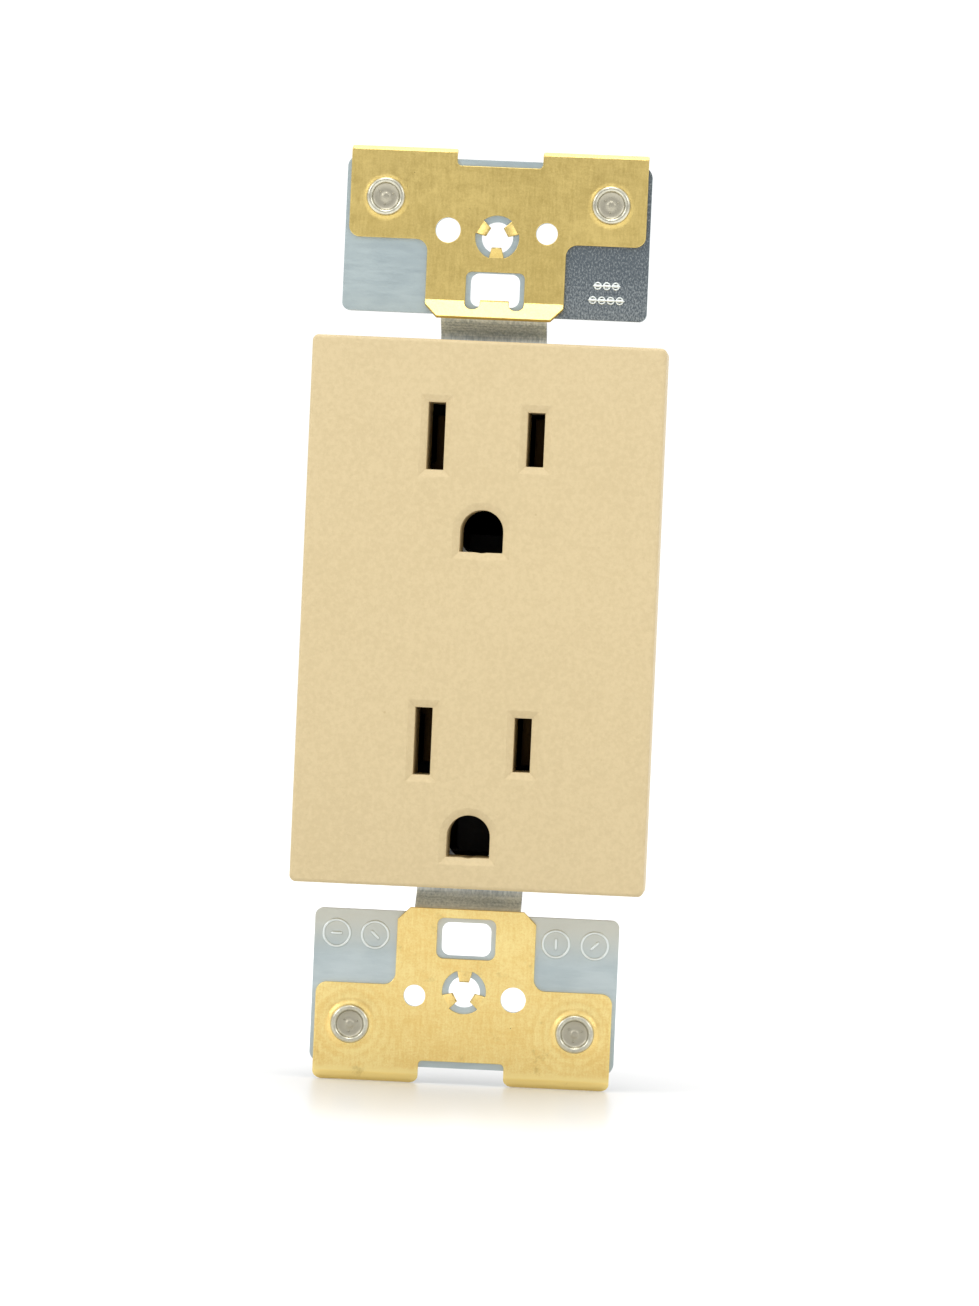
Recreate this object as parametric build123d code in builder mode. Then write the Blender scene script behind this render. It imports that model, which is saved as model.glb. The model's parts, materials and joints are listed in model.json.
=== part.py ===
from build123d import *
from math import cos, radians, sin
import os

os.makedirs("parts", exist_ok=True)

# Duplex wall outlet on a steel strap, in millimetres. X is to the right as the outlet is
# faced, +Z is up, +Y goes into the wall, and the face looks along -Y. The origin is half
# way between the two wall-plate holes, on the rear face of the strap's ears.

# Standard spacings of outlets, blades and screws
blade_spacing = 12.7
ground_offset = 11.9
outlet_pitch = 38.9
box_screw_spacing = 83.34
plate_screw_spacing = 96.84

# Steel strap
strap_t = 1.2
strap_drop = 2.6
ear_width = 39.1
ear_end_z = 58.3
ear_inner_z = 38.4
ear_corner_r = 1.5
ear_inner_corner_r = 1.0
ear_bend_lead = 0.75
neck_width = 13.6
neck_slope_length = 1.65
window_width = 6.35
window_height = 4.3
window_corner_r = 1.1
plate_hole_r = 2.02
bend_r = 0.3

# Brass clip plates riveted to the front of each ear
clip_t = 0.5
clip_width = 38.1
clip_wing_z = 47.85
clip_lip_lead = 0.9
clip_lip_length = 1.5
clip_notch_width = 11.0
clip_notch_depth = 0.85
clip_tongue_width = 17.8
clip_end_z = 37.8
clip_chamfer = 1.6
clip_fillet_r = 1.4
grip_hole_r = 2.83
grip_tip_r = 1.49
grip_tab_width = 1.9
locating_x = 6.35
locating_z = 49.15
locating_wide_r = 1.62
locating_narrow_r = 1.4
tab_fold_z = 40.2
tab_strip_length = 2.6
tab_strip_lean = 35
tab_window_width = 7.55
tab_window_top_z = 43.95
tab_width = 3.7
tab_slot_end_z = 39.1
plain_window_width = 7.57
plain_window_height = 5.2
plain_window_z = 41.6
plain_window_r = 0.9
lips = {"top": 60, "bottom": 38}

# Rivets that hold the clip plates
rivet_x = 14.45
rivet_inset = 5.2
rivet_shank_r = 1.6
rivet_head_r = 2.5
rivet_recess_r = 1.6
rivet_head_height = 0.85
rivet_flare_r = 2.2

# Front cover
face_width = 45.2
face_height = 69.8
face_proud = 7.0
face_wall = 2.4
face_front_wall = 2.4
face_corner_r = 0.8
face_edge_r = 0.5
outlet_mid_z = 3.15
slot_width = 2.2
neutral_slot_height = 8.6
line_slot_height = 6.9
ground_slot_width = 5.5
ground_slot_height = 5.4
bevel_width = 0.95
bevel_depth = 0.5
guide_wall = 1.2

# Rear housing
housing_inset_x = 1.6
housing_inset_z = 1.9
housing_rear_y = 18.0
housing_floor = 2.0
housing_end_wall = 2.0
bay_depth = 4.6
bay_height = 10.6
bay_front_y = 3.4
pocket_depth = 2.4
wire_hole_r = 1.6
wire_hole_spacing = 7.2
rib_t = 1.6
panel_width = 20.0
panel_height = 38.0
gauge_width = 1.6
gauge_length = 14.0
release_width = 1.2
release_height = 3.0
release_inset = 4.2
recess_depth = 0.4
release_depth = 1.0
break_window_height = 8.0

# Current-carrying sheet parts
plate_t = 1.2
web_t = 1.2
web_rear_y = 12.4
plate_front_y = 2.8
leaf_t = 0.7
leaf_height = 6.2
leaf_root_gap = 3.0
leaf_pinch_gap = 1.3
leaf_pinch_y = 6.2
leaf_mouth_y = 3.3
break_tab_width = 5.0
break_neck_width = 1.8
break_slot_width = 1.3
terminal_z = 10.5
terminal_y = 8.0

# Ground contacts
ground_t = 0.6
ground_hole_r = 3.45
ground_leaf_width = 4.4
ground_pinch_gap = 4.6
ground_mouth_gap = 5.8
ground_pinch_y = 9.0
ground_rear_y = 11.0
ground_rivet_r = 0.95
ground_rivet_head_r = 1.55
ground_rivet_head_height = 0.6
ground_rivet_rise = 3.75

# Terminal screws and clamps, number 8-32
screw_r = 2.085
screw_head_r = 4.0
screw_head_height = 2.4
screw_slot_width = 1.2
screw_slot_depth = 1.2
hex_across_flats = 8.0
clamp_t = 1.2
clamp_depth = 8.0
groove_r = 1.1

# Assembly screws, driven from the rear
boss_r = 3.0
long_screw_r = 1.45
long_screw_head_r = 2.6
long_screw_head_height = 1.8
long_screw_reach = 5.0
counterbore_depth = 2.1

# Clearances
running = 0.05
slip = 0.15
gap = 0.2
air = 0.4
insulation = 1.05

# Places that follow from the sizes above
ear_front_y = -strap_t
strap_front_y = strap_drop - strap_t
face_front_y = ear_front_y - face_proud
face_inner_y = face_front_y + face_front_wall
ear_bend_z = ear_inner_z - ear_bend_lead
clip_lip_z = ear_end_z + clip_lip_lead
clip_notch_z = ear_end_z - clip_notch_depth
rivet_z = ear_end_z - rivet_inset
neck_bend_z = ear_bend_z - neck_slope_length
split_y = strap_front_y
blade_x = blade_spacing / 2
row_z = {"upper": outlet_mid_z + outlet_pitch / 2, "lower": outlet_mid_z - outlet_pitch / 2}
ground_z = {name: z - ground_offset for name, z in row_z.items()}
waist_half_height = neutral_slot_height / 2 + guide_wall + 2 * slip
waist_width = 2 * (blade_x - slot_width / 2 - guide_wall - insulation)
housing_half_x = face_width / 2 - housing_inset_x
housing_half_z = face_height / 2 - housing_inset_z
plate_outer_x = housing_half_x - bay_depth
plate_inner_x = plate_outer_x - plate_t
boss_x = plate_inner_x - gap - boss_r
boss_z = housing_half_z - boss_r - air
arm_top_z = row_z["lower"] - waist_half_height
arm_bottom_z = -boss_z + boss_r + gap
ground_terminal_z = -boss_z + boss_r + screw_r + gap
ground_rivet_x = (ground_hole_r + neck_width / 2) / 2
leaf_outer_x = blade_x + leaf_root_gap / 2 + leaf_t
screw_tip_x = leaf_outer_x + 2 * insulation - running
clamp_outer_x = plate_outer_x + clamp_t
housing_floor_y = housing_rear_y - housing_floor
bay_rear_y = web_rear_y + plate_t / 2


def facing(y, x=0, z=0):
    """Sketch plane parallel to the face at depth y; its normal points out of the wall."""
    return Plane(origin=(x, y, z), x_dir=(1, 0, 0), z_dir=(0, -1, 0))


def sideways(x, y, z, side):
    """Plane across a terminal screw's axis, with its normal out of the given side."""
    return Plane(origin=(x * side, y, z), x_dir=(0, 1, 0), z_dir=(side, 0, 0))


def finish(piece, name):
    piece.part.label = name
    export_step(piece.part, f"parts/{name}.step")


# Steel strap: the bent section seen from the side, kept inside the flat outline
with BuildPart() as mounting_strap:
    with BuildSketch(Plane.YZ):
        with BuildLine():
            bent = FilletPolyline(
                (ear_front_y, ear_end_z),
                (ear_front_y, ear_bend_z),
                (strap_front_y, neck_bend_z),
                (strap_front_y, -neck_bend_z),
                (ear_front_y, -ear_bend_z),
                (ear_front_y, -ear_end_z),
                radius=strap_t + bend_r,
            )
            offset(bent, amount=strap_t, side=Side.LEFT)
        make_face()
    extrude(amount=ear_width, both=True)
    with BuildSketch(facing(strap_drop + strap_t)):
        ear_height = ear_end_z - ear_inner_z
        with Locations((0, ear_inner_z + ear_height / 2), (0, -ear_inner_z - ear_height / 2)):
            Rectangle(ear_width, ear_height)
        neck_top = row_z["upper"] + waist_half_height
        for low, high, width in (
            (neck_top, ear_inner_z, neck_width),
            (row_z["upper"] - waist_half_height, neck_top, waist_width),
            (row_z["lower"] + waist_half_height, row_z["upper"] - waist_half_height, neck_width),
            (arm_top_z, row_z["lower"] + waist_half_height, waist_width),
            (-ear_inner_z, arm_top_z, neck_width),
        ):
            with Locations((0, (low + high) / 2)):
                Rectangle(width, high - low)
        fillet(vertices().group_by(SortBy.DISTANCE)[-1], ear_corner_r)
        inner_corners = [
            corner
            for corner in vertices().filter_by_position(Axis.Y, -ear_inner_z, ear_inner_z)
            if abs(corner.X) > neck_width
        ]
        fillet(inner_corners, ear_inner_corner_r)
        for z in (box_screw_spacing / 2, -box_screw_spacing / 2):
            with Locations((0, z)):
                RectangleRounded(window_width, window_height, window_corner_r, mode=Mode.SUBTRACT)
        with Locations((0, plate_screw_spacing / 2), (0, -plate_screw_spacing / 2)):
            Circle(plate_hole_r, mode=Mode.SUBTRACT)
        with Locations((-locating_x, locating_z), (locating_x, -locating_z)):
            Circle(locating_wide_r, mode=Mode.SUBTRACT)
        with Locations((locating_x, locating_z), (-locating_x, -locating_z)):
            Circle(locating_narrow_r, mode=Mode.SUBTRACT)
        with Locations((0, ground_z["upper"]), (0, ground_z["lower"])):
            Circle(ground_hole_r, mode=Mode.SUBTRACT)
        for z in ground_z.values():
            rivet_row_z = z + ground_rivet_rise
            with Locations((ground_rivet_x, rivet_row_z), (-ground_rivet_x, rivet_row_z)):
                Circle(ground_rivet_r + running, mode=Mode.SUBTRACT)
    extrude(amount=3 * strap_drop + strap_t, mode=Mode.INTERSECT)
    for x in (rivet_x, -rivet_x):
        for z in (rivet_z, -rivet_z):
            with Locations(facing(0, x, z).rotated((180, 0, 0))):
                CounterSinkHole(
                    radius=rivet_shank_r + running,
                    counter_sink_radius=rivet_flare_r + running,
                    depth=strap_t,
                )
    with BuildSketch(facing(strap_drop)):
        with Locations((-(plate_outer_x + neck_width / 2) / 2, (arm_top_z + arm_bottom_z) / 2)):
            Rectangle(plate_outer_x - neck_width / 2, arm_top_z - arm_bottom_z)
    extrude(amount=strap_t)
    with BuildSketch(sideways(plate_inner_x, 0, 0, -1)):
        with Locations(((strap_front_y + web_rear_y) / 2, -(arm_top_z + arm_bottom_z) / 2)):
            Rectangle(web_rear_y - strap_front_y, arm_top_z - arm_bottom_z)
        with Locations(((strap_drop + gap + web_rear_y) / 2, -ground_terminal_z)):
            RectangleRounded(web_rear_y - strap_drop - gap, bay_height - 2 * air, 1)
        with Locations((terminal_y, -ground_terminal_z)):
            Circle(screw_r + running, mode=Mode.SUBTRACT)
    extrude(amount=plate_t)
finish(mounting_strap, "mounting_strap")


def clip_plate(where, sign):
    """One brass plate: its bent section seen from the side, kept inside the flat outline."""
    rear_y = ear_front_y
    lip_lean = radians(lips[where])
    lip_end = (
        rear_y - clip_t + clip_lip_length * sin(lip_lean),
        clip_lip_z + clip_lip_length * cos(lip_lean),
    )
    front_line = [lip_end, (rear_y - clip_t, clip_lip_z)]
    if where == "top":
        strip_lean = radians(tab_strip_lean)
        strip_end_z = tab_fold_z - tab_strip_length * cos(strip_lean)
        front_line.append((rear_y - clip_t, tab_fold_z))
        front_line.append((rear_y - clip_t - tab_strip_length * sin(strip_lean), strip_end_z))
    else:
        strip_end_z = clip_end_z
        front_line.append((rear_y - clip_t, clip_end_z))
    with BuildPart() as plate:
        with BuildSketch(Plane.YZ):
            with BuildLine():
                folds = Polyline(*[(y, z * sign) for y, z in front_line])
                offset(folds, amount=clip_t, side=Side.LEFT if sign > 0 else Side.RIGHT)
            make_face()
        extrude(amount=clip_width / 2, both=True)
        with BuildSketch(facing(2 * strap_drop)):
            tongue_top_z = clip_wing_z + clip_fillet_r
            wing_top_z = clip_lip_z + clip_lip_length
            with Locations((0, sign * (clip_wing_z + wing_top_z) / 2)):
                RectangleRounded(clip_width, wing_top_z - clip_wing_z, clip_fillet_r)
            with Locations((0, sign * (strip_end_z + tongue_top_z) / 2)):
                Rectangle(clip_tongue_width, tongue_top_z - strip_end_z)
            tongue_corners = vertices().group_by(Axis.Y)[0 if sign > 0 else -1]
            chamfer(tongue_corners, clip_chamfer)
            with Locations((0, sign * (clip_notch_z + wing_top_z + 1) / 2)):
                Rectangle(clip_notch_width, wing_top_z + 1 - clip_notch_z, mode=Mode.SUBTRACT)
            if where == "top":
                relief_width = (tab_window_width - tab_width) / 2
                with Locations((0, sign * (tab_fold_z + tab_window_top_z) / 2)):
                    Rectangle(tab_window_width, tab_window_top_z - tab_fold_z, mode=Mode.SUBTRACT)
                for x in (-1, 1):
                    relief_x = x * (tab_width + relief_width) / 2
                    relief_mid_z = (tab_slot_end_z + tab_fold_z + relief_width) / 2
                    with Locations((relief_x, sign * relief_mid_z)):
                        relief_length = tab_fold_z + relief_width - tab_slot_end_z
                        SlotOverall(relief_length, relief_width, rotation=90, mode=Mode.SUBTRACT)
            else:
                with Locations((0, sign * plain_window_z)):
                    RectangleRounded(
                        plain_window_width, plain_window_height, plain_window_r, mode=Mode.SUBTRACT
                    )
            with Locations((0, sign * plate_screw_spacing / 2)):
                Circle(grip_hole_r, mode=Mode.SUBTRACT)
            with Locations((-sign * locating_x, sign * locating_z)):
                Circle(locating_wide_r, mode=Mode.SUBTRACT)
            with Locations((sign * locating_x, sign * locating_z)):
                Circle(locating_narrow_r, mode=Mode.SUBTRACT)
        extrude(amount=4 * strap_drop, mode=Mode.INTERSECT)
        with BuildSketch(facing(rear_y)):
            tab_length = grip_hole_r - grip_tip_r
            for turn in (-90, 30, 150):
                angle = radians(turn)
                middle = (grip_tip_r + grip_hole_r) / 2 + running
                with Locations((middle * cos(angle), sign * (plate_screw_spacing / 2 + middle * sin(angle)))):
                    Rectangle(tab_length + 2 * running, grip_tab_width, rotation=sign * turn)
        extrude(amount=clip_t)
        for x in (rivet_x, -rivet_x):
            with Locations(facing(rear_y, x, sign * rivet_z)):
                Hole(rivet_shank_r + running, depth=2 * clip_t)
    return plate


for where, sign in (("top", 1), ("bottom", -1)):
    finish(clip_plate(where, sign), f"{where}_clip_plate")

    # Clip rivets: rolled head in front, flared end flush in the strap's countersink
    for side, x in (("left", -rivet_x), ("right", rivet_x)):
        head_rear = -ear_front_y + clip_t
        head_front = head_rear + rivet_head_height
        with BuildPart() as clip_rivet:
            with BuildSketch(Plane(origin=(x, 0, sign * rivet_z), x_dir=(1, 0, 0), z_dir=(0, 0, 1))):
                with BuildLine():
                    rim = Polyline(
                        (0, -head_rear - clip_t),
                        (rivet_recess_r - running, -head_rear - clip_t),
                        (rivet_recess_r, -head_front + running),
                    )
                    crown = ThreePointArc(
                        rim @ 1,
                        ((rivet_recess_r + rivet_head_r) / 2, -head_front),
                        (rivet_head_r, -(head_rear + head_front) / 2),
                    )
                    Polyline(
                        crown @ 1,
                        (rivet_head_r, -head_rear),
                        (rivet_shank_r, -head_rear),
                        (rivet_shank_r, -(rivet_flare_r - rivet_shank_r) - running),
                        (rivet_flare_r, -running),
                        (0, -running),
                        (0, -head_rear - clip_t),
                    )
                make_face()
            revolve(axis=Axis((x, 0, sign * rivet_z), (0, 1, 0)))
        finish(clip_rivet, f"clip_rivet_{where}_{side}")


def ground_outline(grow=0):
    """U of the ground pin's hole, round at the top and flat below."""
    radius = ground_slot_width / 2 + grow
    top = ground_slot_height / 2 + grow
    with BuildSketch(mode=Mode.PRIVATE) as outline:
        with Locations((0, top - radius)):
            Circle(radius)
        with Locations((0, (top - radius - ground_slot_height / 2 - grow) / 2)):
            Rectangle(2 * radius, top - radius + ground_slot_height / 2 + grow)
    return outline.sketch


def blade_slots(grow=0, mode=Mode.ADD):
    """The four blade slots, each grown by the same margin all round."""
    for z in row_z.values():
        for x, height in ((-blade_x, neutral_slot_height), (blade_x, line_slot_height)):
            with Locations((x, z)):
                Rectangle(slot_width + 2 * grow, height + 2 * grow, mode=mode)


# Front cover: a deep cap with a guide round every slot and four screw bosses
with BuildPart() as front_cover:
    with BuildSketch(facing(split_y)):
        RectangleRounded(face_width, face_height, face_corner_r)
    extrude(amount=split_y - face_front_y)
    fillet(faces().sort_by(Axis.Y)[0].edges(), face_edge_r)
    with BuildSketch(facing(split_y)):
        RectangleRounded(face_width - 2 * face_wall, face_height - 2 * face_wall, face_corner_r)
    extrude(amount=split_y - face_inner_y, mode=Mode.SUBTRACT)
    blade_guide_y = leaf_mouth_y - air
    with BuildSketch(facing(blade_guide_y)):
        blade_slots(grow=guide_wall)
    extrude(amount=blade_guide_y - face_inner_y)
    ground_guide_y = strap_front_y - ground_rivet_head_height - gap
    with BuildSketch(facing(ground_guide_y)):
        with Locations((0, ground_z["upper"]), (0, ground_z["lower"])):
            add(ground_outline(grow=guide_wall))
    extrude(amount=ground_guide_y - face_inner_y)
    with BuildSketch(facing(split_y)):
        with GridLocations(2 * boss_x, 2 * boss_z, 2, 2):
            Circle(boss_r - gap)
    extrude(amount=split_y - face_inner_y)
    with BuildSketch(facing(blade_guide_y)):
        blade_slots()
        with Locations((0, ground_z["upper"]), (0, ground_z["lower"])):
            add(ground_outline())
    extrude(amount=blade_guide_y - face_front_y + 1, mode=Mode.SUBTRACT)
    face = faces().sort_by(Axis.Y)[0]
    mouths = [edge for wire in face.inner_wires() for edge in wire.edges()]
    chamfer(mouths, bevel_width, bevel_depth, reference=face)
    with BuildSketch(facing(split_y)):
        with GridLocations(2 * boss_x, 2 * boss_z, 2, 2):
            Circle(long_screw_r + running)
    extrude(amount=long_screw_reach + air, mode=Mode.SUBTRACT)
finish(front_cover, "front_cover")


bays = [(side, z) for side in (-1, 1) for z in (terminal_z, -terminal_z)]
bays.append((-1, ground_terminal_z))

# Rear housing: an open tray with wiring bays let into its sides
with BuildPart() as rear_housing:
    with BuildSketch(facing(housing_rear_y)):
        RectangleRounded(2 * housing_half_x, 2 * housing_half_z, face_corner_r)
    extrude(amount=housing_rear_y - split_y)
    fillet(faces().sort_by(Axis.Y)[-1].edges(), 2 * face_edge_r)
    cavity_half_z = housing_half_z - housing_end_wall
    with BuildSketch(facing(web_rear_y + running)):
        Rectangle(2 * (plate_outer_x + running), 2 * cavity_half_z)
    extrude(amount=web_rear_y + running - split_y, mode=Mode.SUBTRACT)
    with BuildSketch(facing(housing_floor_y)):
        Rectangle(2 * (plate_inner_x - air), 2 * cavity_half_z)
    extrude(amount=housing_floor_y - web_rear_y, mode=Mode.SUBTRACT)
    for side, z in bays:
        with BuildSketch(sideways(plate_outer_x - 1, 0, 0, side)):
            with Locations(((bay_front_y + bay_rear_y) / 2, side * z)):
                Rectangle(bay_rear_y - bay_front_y, bay_height)
        extrude(amount=bay_depth + 2, mode=Mode.SUBTRACT)
    for side in (-1, 1):
        with BuildSketch(sideways(housing_half_x - pocket_depth, 0, 0, side)):
            for end in (-1, 1):
                if (side, end) == (-1, -1):
                    continue
                pocket_low_z = terminal_z + bay_height / 2 + rib_t
                pocket_high_z = cavity_half_z
                with Locations(
                    (
                        (bay_front_y + housing_floor_y) / 2,
                        side * end * (pocket_low_z + pocket_high_z) / 2,
                    )
                ):
                    Rectangle(housing_floor_y - bay_front_y, pocket_high_z - pocket_low_z)
            with Locations((terminal_y, 0)):
                Rectangle(clamp_depth, break_window_height)
        extrude(amount=pocket_depth + 1, mode=Mode.SUBTRACT)
        with BuildSketch(sideways(plate_outer_x - 1, 0, 0, side)):
            with Locations((terminal_y, 0)):
                Rectangle(break_tab_width + 2 * air, break_window_height)
        extrude(amount=bay_depth + 2, mode=Mode.SUBTRACT)
    with BuildSketch(facing(housing_floor_y + housing_floor / 2)):
        with GridLocations(2 * boss_x, 2 * boss_z, 2, 2):
            Circle(boss_r)
        for z in row_z.values():
            with GridLocations(2 * blade_x, 1, 2, 1):
                with Locations((0, z)):
                    Rectangle(2 * leaf_t + leaf_root_gap, leaf_height / 2)
        for z in ground_z.values():
            with Locations((0, z)):
                Circle(ground_hole_r + guide_wall)
                Circle(ground_hole_r, mode=Mode.SUBTRACT)
    extrude(amount=housing_floor / 2 + housing_floor_y - web_rear_y - running)
    with BuildSketch(facing(web_rear_y + running)):
        with GridLocations(2 * boss_x, 2 * boss_z, 2, 2):
            Circle(boss_r)
    extrude(amount=web_rear_y + running - split_y)
    with BuildSketch(facing(strap_drop + running)):
        with Locations((0, housing_half_z), (0, -housing_half_z)):
            Rectangle(neck_width + 2 * slip, 2 * housing_end_wall + 1)
    extrude(amount=strap_drop + running - split_y, mode=Mode.SUBTRACT)
    with BuildSketch(facing(housing_rear_y)):
        for side, z in bays:
            wire_x = side * (plate_outer_x + wire_hole_r - air)
            with Locations((wire_x, z - wire_hole_spacing / 2), (wire_x, z + wire_hole_spacing / 2)):
                Circle(wire_hole_r)
    extrude(amount=housing_rear_y - bay_rear_y + air, mode=Mode.SUBTRACT)
    with BuildSketch(facing(housing_rear_y)):
        RectangleRounded(panel_width, panel_height, face_corner_r)
        with Locations((0, (panel_height / 2 + housing_half_z) / 2)):
            RectangleRounded(gauge_length, gauge_width, face_edge_r)
    extrude(amount=recess_depth, mode=Mode.SUBTRACT)
    with BuildSketch(facing(housing_rear_y)):
        for side, z in bays:
            with Locations((side * (plate_outer_x + wire_hole_r - air - release_inset), z)):
                Rectangle(release_width, release_height)
    extrude(amount=release_depth, mode=Mode.SUBTRACT)
    for x in (boss_x, -boss_x):
        for z in (boss_z, -boss_z):
            with Locations(facing(housing_rear_y, x, z).rotated((180, 0, 0))):
                CounterBoreHole(
                    radius=long_screw_r + slip,
                    counter_bore_radius=long_screw_head_r + gap,
                    counter_bore_depth=counterbore_depth,
                )
finish(rear_housing, "rear_housing")


def contact_strip(side):
    """Side plate with two tapped holes, a snap-off bridge, and a blade contact at each row."""
    with BuildPart() as strip:
        with BuildSketch(sideways(plate_inner_x, 0, 0, side)):
            plate_mid_y = (plate_front_y + web_rear_y) / 2
            half_height = bay_height / 2 + 1
            with Locations((plate_mid_y, terminal_z), (plate_mid_y, -terminal_z)):
                Rectangle(web_rear_y - plate_front_y, 2 * half_height)
            with Locations((terminal_y, 0)):
                Rectangle(break_tab_width, break_window_height - 2 * break_neck_width)
                Rectangle(break_neck_width, 2 * terminal_z)
                SlotOverall(break_tab_width - 2 * air, break_slot_width, mode=Mode.SUBTRACT)
            with Locations((terminal_y, terminal_z), (terminal_y, -terminal_z)):
                Circle(screw_r + running, mode=Mode.SUBTRACT)
        extrude(amount=plate_t)
        inner_x = blade_x - leaf_root_gap / 2 - leaf_t
        with BuildSketch(facing(web_rear_y)):
            for end, row in ((1, row_z["upper"]), (-1, row_z["lower"])):
                near_z = terminal_z - half_height
                plate_far_z = terminal_z + half_height
                far_z = abs(row) + leaf_height / 2
                with Locations((side * (inner_x + leaf_outer_x) / 2, end * (near_z + far_z) / 2)):
                    Rectangle(leaf_outer_x - inner_x, far_z - near_z)
                with Locations((side * (inner_x + plate_inner_x) / 2, end * (near_z + plate_far_z) / 2)):
                    Rectangle(plate_inner_x - inner_x, plate_far_z - near_z)
        extrude(amount=web_t)
        for z in row_z.values():
            for lean in (-1, 1):
                with BuildSketch(Plane.XY.offset(z - leaf_height / 2)):
                    with BuildLine():
                        root_x = side * blade_x + lean * leaf_root_gap / 2
                        pinch_x = side * blade_x + lean * leaf_pinch_gap / 2
                        Polyline(
                            (root_x, web_rear_y - web_t / 2),
                            (pinch_x, leaf_pinch_y),
                            (root_x, leaf_mouth_y),
                            (root_x + lean * leaf_t, leaf_mouth_y),
                            (pinch_x + lean * leaf_t, leaf_pinch_y),
                            (root_x + lean * leaf_t, web_rear_y - web_t / 2),
                            close=True,
                        )
                    make_face()
                extrude(amount=leaf_height)
    return strip


finish(contact_strip(1), "line_contact_strip")
finish(contact_strip(-1), "neutral_contact_strip")

# Ground contacts on the rear of the strap, and the rivets that hold them
for name, z in ground_z.items():
    root_x = ground_hole_r + 2 * running
    base_low_z = -ground_leaf_width / 2 - air
    base_high_z = ground_rivet_rise + ground_rivet_head_r
    with BuildPart() as ground_contact:
        with BuildSketch(facing(strap_drop + ground_t, 0, z)):
            with Locations((0, (base_low_z + base_high_z) / 2)):
                Rectangle(neck_width - 2 * ground_t, base_high_z - base_low_z)
            Circle(ground_hole_r, mode=Mode.SUBTRACT)
            with Locations((ground_rivet_x, ground_rivet_rise), (-ground_rivet_x, ground_rivet_rise)):
                Circle(ground_rivet_r + running, mode=Mode.SUBTRACT)
        extrude(amount=ground_t)
        for side in (-1, 1):
            with BuildSketch(Plane.XY.offset(z - ground_leaf_width / 2)):
                with BuildLine():
                    pinch_x = side * ground_pinch_gap / 2
                    mouth_x = side * ground_mouth_gap / 2
                    Polyline(
                        (side * root_x, strap_drop + ground_t / 2),
                        (pinch_x, ground_pinch_y),
                        (mouth_x, ground_rear_y),
                        (mouth_x + side * ground_t, ground_rear_y),
                        (pinch_x + side * ground_t, ground_pinch_y),
                        (side * (root_x + ground_t), strap_drop + ground_t / 2),
                        close=True,
                    )
                make_face()
            extrude(amount=ground_leaf_width)
    finish(ground_contact, f"ground_contact_{name}")

with BuildPart() as ground_contact_rivets:
    rear_y = strap_drop + ground_t
    for z in ground_z.values():
        for x in (ground_rivet_x, -ground_rivet_x):
            with BuildSketch(facing(rear_y + ground_rivet_head_height, x, z + ground_rivet_rise)):
                Circle(ground_rivet_head_r)
            extrude(amount=ground_rivet_head_height)
            with BuildSketch(facing(rear_y, x, z + ground_rivet_rise)):
                Circle(ground_rivet_r)
            extrude(amount=rear_y - strap_front_y)
            with BuildSketch(facing(strap_front_y, x, z + ground_rivet_rise)):
                Circle(ground_rivet_head_r)
            extrude(amount=ground_rivet_head_height, taper=20)
finish(ground_contact_rivets, "ground_contact_rivets")


def wire_clamp(side, z):
    """Pressure plate under a screw's head, grooved where it bites the two wires."""
    with BuildPart() as clamp:
        with BuildSketch(sideways(plate_outer_x, terminal_y, z, side)):
            RectangleRounded(clamp_depth, bay_height - 2 * slip, 1)
            Circle(screw_r + running, mode=Mode.SUBTRACT)
        extrude(amount=clamp_t)
        with BuildSketch(facing(terminal_y + clamp_depth, side * (plate_outer_x - groove_r / 2), z)):
            with Locations((0, wire_hole_spacing / 2), (0, -wire_hole_spacing / 2)):
                Circle(groove_r)
        extrude(amount=2 * clamp_depth, mode=Mode.SUBTRACT)
    return clamp


def terminal_screw(side, z, hexagonal=False):
    """Screw along X: the head bears on its clamp, and the shank runs in the tapped plate."""
    with BuildPart() as screw:
        with BuildSketch(sideways(screw_tip_x, terminal_y, z, side)):
            Circle(screw_r)
        extrude(amount=clamp_outer_x - screw_tip_x)
        chamfer(faces().sort_by(Axis.X)[0 if side > 0 else -1].edges(), bend_r)
        with BuildSketch(sideways(clamp_outer_x, terminal_y, z, side)):
            if hexagonal:
                RegularPolygon(hex_across_flats / 2, 6, major_radius=False)
            else:
                Circle(screw_head_r)
        extrude(amount=screw_head_height)
        if not hexagonal:
            fillet(faces().sort_by(Axis.X)[-1 if side > 0 else 0].edges(), 2 * bend_r)
        with BuildSketch(sideways(clamp_outer_x + screw_head_height, terminal_y, z, side)):
            Rectangle(2 * screw_head_r + 2, screw_slot_width)
            if not hexagonal:
                Rectangle(screw_slot_width, screw_head_r)
        extrude(amount=-screw_slot_depth, mode=Mode.SUBTRACT)
    return screw


for circuit, side in (("line", 1), ("neutral", -1)):
    for level, z in (("upper", terminal_z), ("lower", -terminal_z)):
        finish(wire_clamp(side, z), f"{circuit}_clamp_{level}")
        finish(terminal_screw(side, z), f"{circuit}_screw_{level}")
finish(wire_clamp(-1, ground_terminal_z), "ground_clamp")
finish(terminal_screw(-1, ground_terminal_z, hexagonal=True), "ground_screw")

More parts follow.
